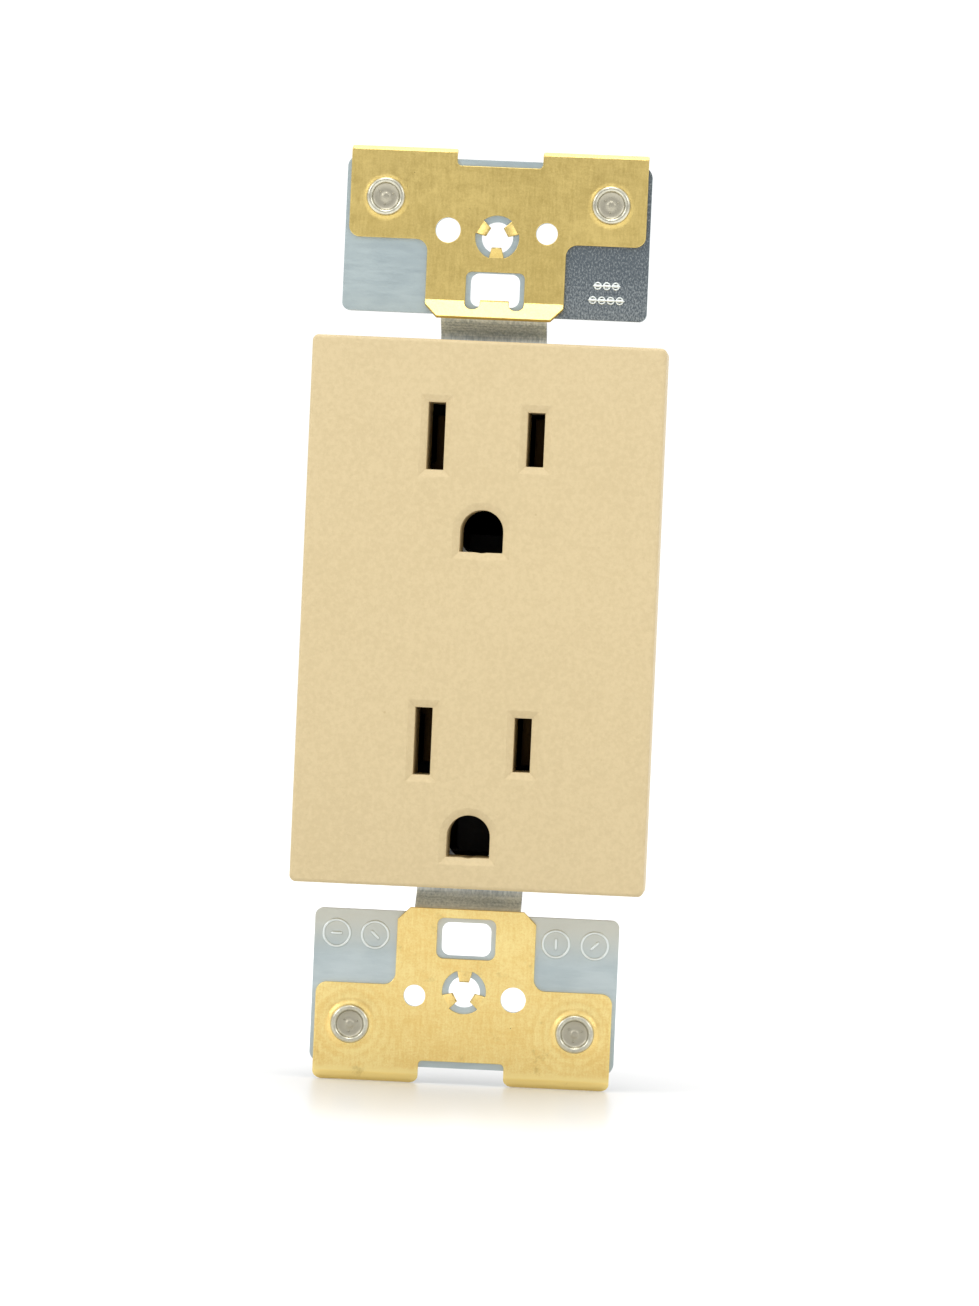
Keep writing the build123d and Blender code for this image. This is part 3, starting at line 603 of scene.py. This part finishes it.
def clipPlate(where, side):
    sign = side["sign"]
    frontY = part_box("mounting_strap")[0].y / mm - clip["thickness"]
    bend = math.radians(side["lipBend"])
    tangent = side["lipRadius"] * math.tan(bend / 2)
    lipStart = clip["lipZ"] - tangent
    lipEnd = lipStart + side["lipRadius"] * bend + clip["lipLength"] - tangent
    halfWidth, tongue, notch = clip["width"] / 2, clip["tongueWidth"] / 2, clip["notchWidth"] / 2
    if where == "top":
        strip = math.radians(-side["stripBend"])
        stripRadius = 0.25
        stripTangent = stripRadius * math.tan(strip / 2)
        stripStart = side["stripFold"] + stripTangent
        endZ = stripStart - stripRadius * strip - side["stripLength"] + stripTangent
        lean = 1 / math.cos(strip)
    else:
        endZ = clip["tongueEnd"]
        lean = 1
    half = [
        (tongue - clip["chamfer"], endZ, 0.2), (tongue, endZ + clip["chamfer"] * lean, 0.3),
        (tongue, clip["wingZ"], clip["inner"]), (halfWidth, clip["wingZ"], clip["wingCorner"]),
        (halfWidth, lipEnd, side["lipCorner"]), (notch, lipEnd, side["lipCorner"]),
        (notch, clip["notchZ"], clip["notchCorner"]),
    ]
    outline = half + [(-x, z, radius) for x, z, radius in reversed(half)]
    loops = [rounded(outline)]
    windowHalf = side["windowWidth"] / 2
    if where == "top":
        tab = side["tabWidth"] / 2
        slot = side["stripFold"] - (side["stripFold"] - side["slotEnd"]) * lean
        right = [(windowHalf, side["windowTop"], 0.75), (windowHalf, slot, 0.94), (tab, slot, 0.94),
                 (tab, side["stripFold"] + 0.15, 0.12)]
        loops.append(rounded(right + [(-x, z, radius) for x, z, radius in reversed(right)]))
    else:
        up, down = side["windowZ"] + side["windowHeight"] / 2, side["windowZ"] - side["windowHeight"] / 2
        corner = side["windowCorner"]
        loops.append(rounded([(windowHalf, up, corner), (windowHalf, down, corner),
                              (-windowHalf, down, corner), (-windowHalf, up, corner)]))
    loops.append(gripLoop())
    loops.append(circle(-clip["locateX"], clip["locateZ"], clip["wide"]))
    loops.append(circle(clip["locateX"], clip["locateZ"], clip["narrow"]))
    rivets = []
    for end in ("left", "right"):
        corner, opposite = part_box("clip_rivet_" + where + "_" + end)
        middle = (corner + opposite) / 2 / mm
        rivets.append(Vector((middle.x * sign, 0, middle.z * sign)))
        loops.append(circle(middle.x * sign, middle.z * sign, clip["rivetHole"]))
    work = sheet(where + "Clip", loops, clip["thickness"], frontY, clip["edge"])

    # the metal stands up in a collar where each rivet was set
    for middle in rivets:
        reach = clip["swellRadius"]
        for axis in (Vector((1, 0, 0)), Vector((0, 0, 1))):
            for offset in (-reach, reach):
                cut(work, middle + axis * offset, axis)
        for axis in (Vector((1, 0, 0)), Vector((0, 0, 1))):
            steps = 34
            for step in range(1, steps):
                near = [face for face in work.faces
                        if all(abs(point.co.x - middle.x) < reach + 0.01
                               and abs(point.co.z - middle.z) < reach + 0.01 for point in face.verts)]
                cut(work, middle + axis * (2 * reach * step / steps - reach), axis, near)
    for point in work.verts:
        for middle in rivets:
            away = math.hypot(point.co.x - middle.x, point.co.z - middle.z)
            for height, inner, outer in ((side["collar"], 2.35, side["collarRadius"]),
                                         (clip["swell"], 2.5, clip["swellRadius"])):
                part = min(max((outer - away) / (outer - inner), 0), 1)
                point.co.y -= height * part * part * (3 - 2 * part)
    fold(work, (0, 0, lipStart), (0, 0, 1), frontY, side["lipRadius"], side["lipBend"],
         lambda place: place.z > lipStart - 0.05)
    if where == "top":
        fold(work, (0, 0, stripStart), (0, 0, -1), frontY, stripRadius, side["stripBend"],
             lambda place: place.z < stripStart + 0.05)
    for turn in clip["gripTurns"]:
        angle = math.radians(turn)
        outward = Vector((math.cos(angle), 0, math.sin(angle)))
        across = Vector((-outward.z, 0, outward.x))
        centre = Vector((0, 0, clip["gripZ"]))
        base = math.sqrt(clip["gripRadius"] ** 2 - (clip["gripRoot"] / 2) ** 2)

        def inTab(place):
            spot = place - centre
            beside = abs(spot.dot(across))
            return 0.4 < spot.dot(outward) < base + 0.35 and beside < clip["gripRoot"] / 2 + 0.1
        fold(work, centre + outward * (base - 0.02), -outward, frontY, 0.3, clip["gripBend"], inTab, 4)
    if sign < 0:
        bmesh.ops.transform(work, matrix=Matrix.Rotation(math.pi, 4, "Y"), verts=work.verts)
    bmesh.ops.scale(work, vec=(mm, mm, mm), verts=work.verts)
    mesh = bpy.data.meshes.new(where + "_clip_pressing")
    bmesh.ops.recalc_face_normals(work, faces=work.faces)
    print("clip", where, "open edges", sum(not edge.is_manifold for edge in work.edges))
    work.to_mesh(mesh)
    work.free()
    piece = inScene(where + "_clip_pressing", mesh)
    flatFaced(mesh)
    hand(piece, rootBody, "clip_brass", finishes["clip_brass"], where + "_clip_plate")


for where, side in clipSides.items():
    clipPlate(where, side)


# what repeats is made by node trees, worked in millimetres

class Recipe(Graph):
    def __init__(self, name, **sizes):
        super().__init__(bpy.data.node_groups.new(name, "GeometryNodeTree"))
        face = self.tree.interface
        face.new_socket("Geometry", in_out="INPUT", socket_type="NodeSocketGeometry")
        face.new_socket("Geometry", in_out="OUTPUT", socket_type="NodeSocketGeometry")
        kinds = {float: "NodeSocketFloat", int: "NodeSocketInt", tuple: "NodeSocketVector"}
        for key, value in sizes.items():
            face.new_socket(key, in_out="INPUT", socket_type=kinds[type(value)])
        face.new_socket("Finish", in_out="INPUT", socket_type="NodeSocketMaterial")
        self.entry = self.tree.nodes.new("NodeGroupInput")
        self.exit = self.tree.nodes.new("NodeGroupOutput")

    def size(self, name):
        return Wire(self, self.entry.outputs[name])

    def spin(self, profile, bore, segments):
        # turns an outline of (radius - bore, -height) about the Z axis
        ring = self.add("GeometryNodeCurvePrimitiveCircle", None, {"Resolution": segments, "Radius": bore})
        ring = self.add("GeometryNodeSetCurveNormal", {"mode": "Z_UP"}, {"Curve": ring})
        turned = self.add("GeometryNodeCurveToMesh", None, {"Curve": ring, "Profile Curve": profile})
        return self.add("GeometryNodeMergeByDistance", None, {"Geometry": turned, "Distance": 0.002})

    def join(self, *parts):
        return self.add("GeometryNodeJoinGeometry", None, {"Geometry": list(parts)})

    def scatter(self, part):
        # one part at each corner of a grid, or a single one where the grid has no size
        grid = self.add("GeometryNodeMeshGrid", None, {
            "Size X": self.size("Width"), "Size Y": self.size("Height"),
            "Vertices X": 2, "Vertices Y": 2}, "Mesh")
        corners = self.add("GeometryNodeMergeByDistance", None, {"Geometry": grid, "Distance": 0.01})
        return self.add("GeometryNodeInstanceOnPoints", None, {"Points": corners, "Instance": part})

    def close(self, geometry, place, turn):
        moved = self.add("GeometryNodeTransform", None, {
            "Geometry": geometry, "Translation": place, "Rotation": turn})
        small = self.add("GeometryNodeTransform", None, {"Geometry": moved, "Scale": (mm, mm, mm)})
        real = self.add("GeometryNodeRealizeInstances", None, {"Geometry": small})
        faced = self.add("GeometryNodeSetMaterial", None, {
            "Geometry": real, "Material": self.size("Finish")})
        self.tree.links.new(faced.socket, self.exit.inputs[0])
        return self.tree


def outlineMesh(name, bore, points):
    # radius and height pairs, as the edge that a recipe turns
    mesh = bpy.data.meshes.new(name)
    mesh.from_pydata([(radius - bore, -height, 0) for radius, height in points],
                     [(index, index + 1) for index in range(len(points) - 1)], [])
    return mesh


def cooked(name, mesh, tree, material, **sizes):
    piece = inScene(name, mesh)
    modifier = piece.modifiers.new("recipe", "NODES")
    modifier.node_group = tree
    sizes["Finish"] = material
    for item in tree.interface.items_tree:
        if item.in_out == "INPUT" and item.name in sizes:
            modifier[item.identifier] = sizes[item.name]
    settled(piece)
    work = bmesh.new()
    work.from_mesh(piece.data)
    bmesh.ops.recalc_face_normals(work, faces=work.faces)
    work.to_mesh(piece.data)
    work.free()
    return piece


def rivetTree():
    # a turned head with three punch dots in its recess, at the four corners of a grid
    sizes = {"Bore": 1.0, "Segments": 64, "Dot Radius": 0.1, "Dot Ring": 1.0, "Dot Height": 0.0,
             "Width": 1.0, "Height": 1.0, "Place": (0, 0, 0), "Turn": (0, 0, 0)}
    recipe = Recipe("rivetField", **sizes)
    size = recipe.size
    profile = recipe.add("GeometryNodeMeshToCurve", None, {"Mesh": size("Geometry")})
    part = recipe.spin(profile, size("Bore"), size("Segments"))
    ring = recipe.add("GeometryNodeMeshCircle", None, {"Vertices": 3, "Radius": size("Dot Ring")})
    dot = recipe.add("GeometryNodeMeshIcoSphere", None, {
        "Radius": size("Dot Radius"), "Subdivisions": 3}, "Mesh")
    dots = recipe.add("GeometryNodeInstanceOnPoints", None, {"Points": ring, "Instance": dot})
    up = recipe.add("ShaderNodeCombineXYZ", None, {2: size("Dot Height")})
    dots = recipe.add("GeometryNodeTransform", None, {
        "Geometry": dots, "Translation": up, "Rotation": (0, 0, 0.4)})
    return recipe.close(recipe.scatter(recipe.join(part, dots)), size("Place"), size("Turn"))


rivetField = rivetTree()

rivet = {"head": 2.5, "crown": 0.86, "ringInner": 1.66, "wall": 1.52, "floor": 0.34, "dome": 0.2,
         "domeRadius": 0.5, "shank": 1.6, "dotRadius": 0.13, "dotRing": 0.95}


def rivetOutline():
    points = [(0, -0.5), (rivet["shank"], -0.5), (rivet["shank"], -0.02), (rivet["head"] - 0.12, 0)]
    crownMiddle = (rivet["head"] + rivet["ringInner"]) / 2
    crownHalf = (rivet["head"] - rivet["ringInner"]) / 2
    for step in range(11):
        angle = math.radians(-8 + 176 * step / 10)
        points.append((crownMiddle + crownHalf * math.cos(angle),
                       rivet["crown"] * 0.42 + rivet["crown"] * 0.58 * math.sin(angle)))
    points.append((rivet["wall"] + 0.04, rivet["floor"] + 0.1))
    points.append((rivet["wall"] - 0.12, rivet["floor"]))
    points.append((rivet["domeRadius"] + 0.35, rivet["floor"] + 0.02))
    for step in range(5):
        angle = math.radians(90 * step / 4)
        points.append((rivet["domeRadius"] * math.cos(angle),
                       rivet["floor"] + 0.04 + rivet["dome"] * 0.5 * math.sin(angle)))
    return points


rivetNodes = ["clip_rivet_" + where + "_" + end for where in ("top", "bottom") for end in ("left", "right")]
centres = [sum(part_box(node), Vector()) / 2 / mm for node in rivetNodes]
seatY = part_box("clip_rivet_top_left")[0].y / mm + rivet["crown"] - 0.01
rivets = cooked("clip_rivet_heads", outlineMesh("rivetOutline", 1.0, rivetOutline()), rivetField,
                finishes["rivet_nickel"], **{
                    "Bore": 1.0, "Segments": 72,
                    "Dot Radius": rivet["dotRadius"], "Dot Ring": rivet["dotRing"],
                    "Dot Height": rivet["floor"], "Width": centres[1].x - centres[0].x,
                    "Height": centres[0].z - centres[2].z,
                    "Place": (0, seatY, (centres[0].z + centres[2].z) / 2), "Turn": (math.pi / 2, 0, 0)})
hand(smooth(rivets, 0), rootBody, "rivet_nickel", finishes["rivet_nickel"], *rivetNodes)


screw = {"headRadius": 4.0, "headHeight": 2.4, "edge": 0.45, "major": 2.085, "minor": 1.62, "pitch": 0.794,
         "driveWidth": 1.15, "driveDepth": 1.25, "crossLength": 4.2, "hexAcross": 8.0}


def screwTree():
    # head with its drive cut in, and a helical thread round the shank
    sizes = {"Bore": 1.0, "Sides": 6, "Side Radius": 4.0, "Head Height": 2.4, "Slot Length": 9.0,
             "Cross Length": 4.0, "Drive Width": 1.2, "Drive Depth": 1.2, "Shank": 8.0,
             "Major": 2.0, "Minor": 1.6, "Pitch": 0.8,
             "Width": 0.0, "Height": 0.0, "Place": (0, 0, 0), "Turn": (0, 0, 0)}
    recipe = Recipe("drivenScrew", **sizes)
    size = recipe.size
    profile = recipe.add("GeometryNodeMeshToCurve", None, {"Mesh": size("Geometry")})
    head = recipe.spin(profile, size("Bore"), 64)

    def block(length, width, depth, height):
        shape = recipe.add("ShaderNodeCombineXYZ", None, {0: length, 1: width, 2: depth})
        cube = recipe.add("GeometryNodeMeshCube", None, {"Size": shape}, "Mesh")
        up = recipe.add("ShaderNodeCombineXYZ", None, {2: height})
        return recipe.add("GeometryNodeTransform", None, {"Geometry": cube, "Translation": up})

    prism = recipe.add("GeometryNodeMeshCylinder", None, {
        "Vertices": size("Sides"), "Radius": size("Side Radius"), "Depth": 30.0}, "Mesh")
    head = recipe.add("GeometryNodeMeshBoolean", {"operation": "INTERSECT", "solver": "EXACT"}, {
        "Mesh 2": [head, prism]})
    top = size("Head Height") + 1 - size("Drive Depth") * 0.5
    slot = block(size("Slot Length"), size("Drive Width"), size("Drive Depth") + 2, top)
    cross = block(size("Drive Width"), size("Cross Length"), size("Drive Depth") + 2, top)
    head = recipe.add("GeometryNodeMeshBoolean", {"operation": "DIFFERENCE", "solver": "EXACT"}, {
        "Mesh 1": head, "Mesh 2": [slot, cross]})
    line = recipe.add("GeometryNodeCurveSpiral", None, {
        "Resolution": 20, "Rotations": size("Shank").maths("DIVIDE", size("Shank"), size("Pitch")),
        "Start Radius": size("Minor"), "End Radius": size("Minor"), "Height": size("Shank")})
    line = recipe.add("GeometryNodeSetCurveNormal", {"mode": "Z_UP"}, {"Curve": line})
    ridge = recipe.add("GeometryNodeCurvePrimitiveCircle", None, {
        "Resolution": 4, "Radius": size("Major") - size("Minor")})
    thread = recipe.add("GeometryNodeCurveToMesh", None, {
        "Curve": line, "Profile Curve": ridge, "Fill Caps": True})
    core = recipe.add("GeometryNodeMeshCylinder", None, {
        "Vertices": 40, "Radius": size("Minor") + 0.02, "Depth": size("Shank")}, "Mesh")
    half = recipe.add("ShaderNodeCombineXYZ", None, {2: size("Shank") * 0.5})
    core = recipe.add("GeometryNodeTransform", None, {"Geometry": core, "Translation": half})
    down = recipe.add("ShaderNodeCombineXYZ", None, {2: size("Shank") * -1})
    shank = recipe.add("GeometryNodeTransform", None, {
        "Geometry": recipe.join(core, thread), "Translation": down})
    return recipe.close(recipe.scatter(recipe.join(head, shank)), size("Place"), size("Turn"))


drivenScrew = screwTree()


def panOutline(radius, height, edge, dome=0.25):
    shoulder = height - edge - dome
    points = [(0, 0), (radius - 0.12, 0), (radius, 0.12), (radius, shoulder)]
    for step in range(1, 6):
        angle = math.radians(90 * step / 5)
        points.append((radius - edge + edge * math.cos(angle), shoulder + edge * math.sin(angle)))
    for step in range(1, 5):
        inner = (radius - edge) * (1 - step / 4)
        points.append((inner, height - dome * (inner / (radius - edge)) ** 2))
    return points


def terminalScrew(node, slot):
    low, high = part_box(node)
    low, high = low / mm, high / mm
    middle = (low + high) / 2
    side = 1 if middle.x > 0 else -1
    outer = high.x if side > 0 else low.x
    tip = low.x if side > 0 else high.x
    seat = outer - side * screw["headHeight"]
    hexagonal = slot == "screw_green"
    across = screw["hexAcross"] / 2
    if hexagonal:
        corner = across / math.cos(math.pi / 6)
        outline = [(0, 0), (corner + 0.05, 0), (corner + 0.05, screw["headHeight"] - 0.4),
                   (across - 0.15, screw["headHeight"]), (0, screw["headHeight"])]
    else:
        outline = panOutline(screw["headRadius"], screw["headHeight"], screw["edge"])
    radius = corner if hexagonal else screw["headRadius"] + 1
    piece = cooked(
        node.replace("screw", "terminal_screw"), outlineMesh(node + "Outline", 1.0, outline), drivenScrew,
        finishes[slot], **{
            "Bore": 1.0, "Sides": 6 if hexagonal else 32, "Side Radius": radius,
            "Head Height": screw["headHeight"], "Slot Length": 9.5, "Cross Length": screw["crossLength"],
            "Drive Width": screw["driveWidth"], "Drive Depth": screw["driveDepth"],
            "Shank": abs(seat - tip), "Major": screw["major"] - 0.03, "Minor": screw["minor"],
            "Pitch": screw["pitch"],
            "Place": (seat, middle.y, middle.z), "Turn": (0, side * math.pi / 2, 0)})
    hand(smooth(piece, 0.06, 35), frame["nodes"][node]["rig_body"], slot, finishes[slot], node)


for node, slot in {"line_screw_upper": "screw_brass", "line_screw_lower": "screw_brass",
                   "neutral_screw_upper": "screw_nickel", "neutral_screw_lower": "screw_nickel",
                   "ground_screw": "screw_green"}.items():
    terminalScrew(node, slot)


bodyScrew = {"headHeight": 1.8, "edge": 0.5, "major": 1.45, "minor": 1.08, "pitch": 0.9, "driveWidth": 0.75,
             "driveDepth": 1.1, "crossLength": 2.9}
bodyScrewNodes = ["assembly_screw_" + row + "_" + end
                  for row in ("upper", "lower") for end in ("left", "right")]


def assemblyScrews():
    # four thread-forming screws driven from behind, heads down in their counterbores
    boxes = [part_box(node) for node in bodyScrewNodes]
    low = Vector([min(box[0][axis] for box in boxes) for axis in range(3)]) / mm
    high = Vector([max(box[1][axis] for box in boxes) for axis in range(3)]) / mm
    radius = (boxes[0][1].x - boxes[0][0].x) / 2 / mm
    seat = high.y - bodyScrew["headHeight"]
    outline = panOutline(radius, bodyScrew["headHeight"], bodyScrew["edge"], 0.3)
    piece = cooked("assembly_screw_set", outlineMesh("assemblyOutline", 1.0, outline), drivenScrew,
                   finishes["screw_steel"], **{
                       "Bore": 1.0, "Sides": 32, "Side Radius": radius + 1,
                       "Head Height": bodyScrew["headHeight"],
                       "Slot Length": bodyScrew["crossLength"], "Cross Length": bodyScrew["crossLength"],
                       "Drive Width": bodyScrew["driveWidth"], "Drive Depth": bodyScrew["driveDepth"],
                       "Shank": seat - low.y, "Major": bodyScrew["major"] - 0.02,
                       "Minor": bodyScrew["minor"],
                       "Pitch": bodyScrew["pitch"], "Width": high.x - low.x - 2 * radius,
                       "Height": high.z - low.z - 2 * radius,
                       "Place": (0, seat, (low.z + high.z) / 2), "Turn": (-math.pi / 2, 0, 0)})
    hand(smooth(piece, 0.05, 35), rootBody, "screw_steel", finishes["screw_steel"], *bodyScrewNodes)


assemblyScrews()


mark = {"ring": 1.7, "line": 0.2, "bar": 1.6, "barWidth": 0.22,
        "places": ((-16.69, -41.56), (-11.75, -41.6), (11.5, -41.73), (16.5, -41.76))}
tally = {"ring": 0.42, "line": 0.12, "barWidth": 0.2, "barLength": 1.25, "pitch": 1.15, "x": 14.3,
         "rows": ((42.8, 3), (40.95, 4))}


def pointMesh(name, places):
    mesh = bpy.data.meshes.new(name)
    mesh.from_pydata([(x, 0, z) for x, z in places], [], [])
    return mesh


def markTree():
    # stamped rings, each with a bar turned a step further than the last
    sizes = {"Ring Radius": 1.7, "Line": 0.1, "Bar Length": 1.5, "Bar Width": 0.2, "Step": 0.8,
             "Place": (0, 0, 0), "Turn": (0, 0, 0)}
    recipe = Recipe("ringMarks", **sizes)
    size = recipe.size
    ring = recipe.add("GeometryNodeCurvePrimitiveCircle", None, {
        "Resolution": 48, "Radius": size("Ring Radius")})
    section = recipe.add("GeometryNodeCurvePrimitiveCircle", None, {
        "Resolution": 10, "Radius": size("Line")})
    ring = recipe.add("GeometryNodeCurveToMesh", None, {"Curve": ring, "Profile Curve": section})
    flat = recipe.add("GeometryNodeInstanceOnPoints", None, {
        "Points": size("Geometry"), "Instance": ring, "Rotation": (math.pi / 2, 0, 0)})
    index = recipe.add("GeometryNodeInputIndex")
    turn = recipe.add("ShaderNodeCombineXYZ", None, {1: index * size("Step")})
    ends = recipe.add("ShaderNodeCombineXYZ", None, {0: size("Bar Length") * 0.5})
    starts = recipe.add("ShaderNodeCombineXYZ", None, {0: size("Bar Length") * -0.5})
    line = recipe.add("GeometryNodeCurvePrimitiveLine", None, {"Start": starts, "End": ends})
    bar = recipe.add("GeometryNodeResampleCurve", None, {"Curve": line, "Count": 9})
    along = recipe.add("GeometryNodeSplineParameter")
    taper = recipe.add("ShaderNodeMapRange", {"interpolation_type": "LINEAR"}, {
        "Value": (along - 0.5).maths("ABSOLUTE", along - 0.5), "From Min": 0.36, "From Max": 0.5,
        "To Min": 1.0, "To Max": 0.35})
    radius = recipe.add("GeometryNodeSetCurveRadius", None, {"Curve": bar, "Radius": taper})
    wide = recipe.add("GeometryNodeCurvePrimitiveCircle", None, {
        "Resolution": 10, "Radius": size("Bar Width")})
    bar = recipe.add("GeometryNodeCurveToMesh", None, {
        "Curve": radius, "Profile Curve": wide, "Scale": taper, "Fill Caps": True})
    bars = recipe.add("GeometryNodeInstanceOnPoints", None, {
        "Points": size("Geometry"), "Instance": bar, "Rotation": turn})
    return recipe.close(recipe.join(flat, bars), size("Place"), size("Turn"))


ringMarks = markTree()


def earMarks():
    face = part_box("mounting_strap")[0].y / mm
    zinc = finishes["zinc_steel"]
    rings = cooked("ear_ring_marks", pointMesh("ringPlaces", mark["places"]), ringMarks, zinc, **{
        "Ring Radius": mark["ring"], "Line": mark["line"], "Bar Length": mark["bar"],
        "Bar Width": mark["barWidth"], "Step": math.pi / 4,
        "Place": (0, face + mark["line"] * 0.2, 0), "Turn": (0, 0, 0)})
    hand(smooth(rings, 0), rootBody, "zinc_steel", zinc)
    places = [(tally["x"] + (column - (count - 1) / 2) * tally["pitch"], z)
              for z, count in tally["rows"] for column in range(count)]
    bars = cooked("ear_tally_marks", pointMesh("tallyPlaces", places), ringMarks, zinc, **{
        "Ring Radius": tally["ring"], "Line": tally["line"], "Bar Length": tally["barLength"],
        "Bar Width": tally["barWidth"], "Step": 0.0, "Place": (0, face - 0.04, 0),
        "Turn": (0, 0, 0)})
    hand(smooth(bars, 0), rootBody, "zinc_steel", zinc)


earMarks()


# stage: pale floor with a painted shadow round the object, soft light, camera

def stageFloor():
    finish = Finish("paleFloor", **{"IOR": 1.4})
    shade = finish.grain(60, 2, 0.5)
    span = finish.add("ShaderNodeVectorMath", {"operation": "LENGTH"}, {"Vector": finish.place}, "Value")
    # the floor is painted darker within about 12 cm of the object, a painted shadow standing in for its
    # contact shadow
    shadowFade = finish.between(span, 0.02, 0.12)
    near = finish.mix(shade, tone(186, 187, 188), tone(192, 193, 194))
    colour = finish.mix(shadowFade, near, tone(244, 244, 243))
    rough = finish.between(shade, 0.2, 0.8, 0.3, 0.36)
    material = finish.wire(Base_Color=colour, Roughness=rough)
    mesh = bpy.data.meshes.new("floor")
    work = bmesh.new()
    bmesh.ops.create_circle(work, cap_ends=True, segments=96, radius=9,
                            matrix=Matrix.Translation((0, 0, cadBox[0].z)))
    work.to_mesh(mesh)
    work.free()
    floor = inScene("floor", mesh)
    mesh.materials.append(material)


def softbox(name, place, aim, width, height, power, warmth=(1, 1, 1)):
    light = bpy.data.lights.new(name, "AREA")
    light.shape = "RECTANGLE"
    light.size = width
    light.size_y = height
    light.energy = power
    light.color = warmth
    lamp = bpy.data.objects.new(name, light)
    scene.collection.objects.link(lamp)
    lamp.location = place
    lamp.rotation_euler = (Vector(aim) - Vector(place)).to_track_quat("-Z", "Y").to_euler()


stageFloor()
softbox("overheadSoftbox", (-0.08, -0.29, 0.78), (0, 0, 0), 0.4, 0.26, 2.2, (1, 0.985, 0.96))
softbox("rearSoftbox", (0.05, 0.38, 0.72), (0, 0, 0), 0.5, 0.3, 1.6)
softbox("leftSoftbox", (-0.78, -0.62, 0.46), (0, 0, 0), 0.35, 0.35, 1.9)
softbox("rightSoftbox", (0.78, -0.62, 0.46), (0, 0, 0), 0.35, 0.35, 1.3)

room = {"side": 0.80, "rise": 0.5, "behind": 0.27}


def paleRoom():
    # plain white all round, lighter overhead and behind the object than in front of it
    world = bpy.data.worlds.new("paleRoom")
    scene.world = world
    world.use_nodes = True
    graph = Graph(world.node_tree)
    surface = world.node_tree.nodes["Background"]
    split = graph.tree.nodes.new("ShaderNodeSeparateXYZ")
    direction = graph.add("ShaderNodeTexCoord", output="Generated")
    graph.tree.links.new(direction.socket, split.inputs[0])
    up = Wire(graph, split.outputs[2])
    above = up.maths("MAXIMUM", up, 0.0)
    strength = above * room["rise"] + Wire(graph, split.outputs[1]) * room["behind"] + room["side"]
    graph.tree.links.new(strength.socket, surface.inputs["Strength"])
    surface.inputs["Color"].default_value = (1, 1, 1, 1)


paleRoom()
scene.view_settings.view_transform = "Standard"

shot = {"distance": 0.840, "azimuth": 2.9015, "elevation": 0.638, "roll": 2.527,
        "aim": (1.2846, 0, -4.8093), "lens": 180.26}


def stageCamera():
    turn, rise, roll = (math.radians(shot[key]) for key in ("azimuth", "elevation", "roll"))
    back = Vector((math.sin(turn) * math.cos(rise), -math.cos(turn) * math.cos(rise), math.sin(rise)))
    right = (-back).cross(Vector((0, 0, 1))).normalized()
    up = right.cross(-back)
    rolledRight = right * math.cos(roll) + up * math.sin(roll)
    rolledUp = up * math.cos(roll) - right * math.sin(roll)
    data = bpy.data.cameras.new("camera")
    data.lens = shot["lens"]
    data.sensor_width = 36
    data.clip_start = 0.01
    data.clip_end = 50
    camera = bpy.data.objects.new("camera", data)
    scene.collection.objects.link(camera)
    turnMatrix = Matrix((rolledRight, rolledUp, back)).transposed().to_4x4()
    stand = Vector(shot["aim"]) * mm + back * shot["distance"]
    camera.matrix_world = Matrix.Translation(stand) @ turnMatrix
    scene.camera = camera


stageCamera()
print("stage ready")
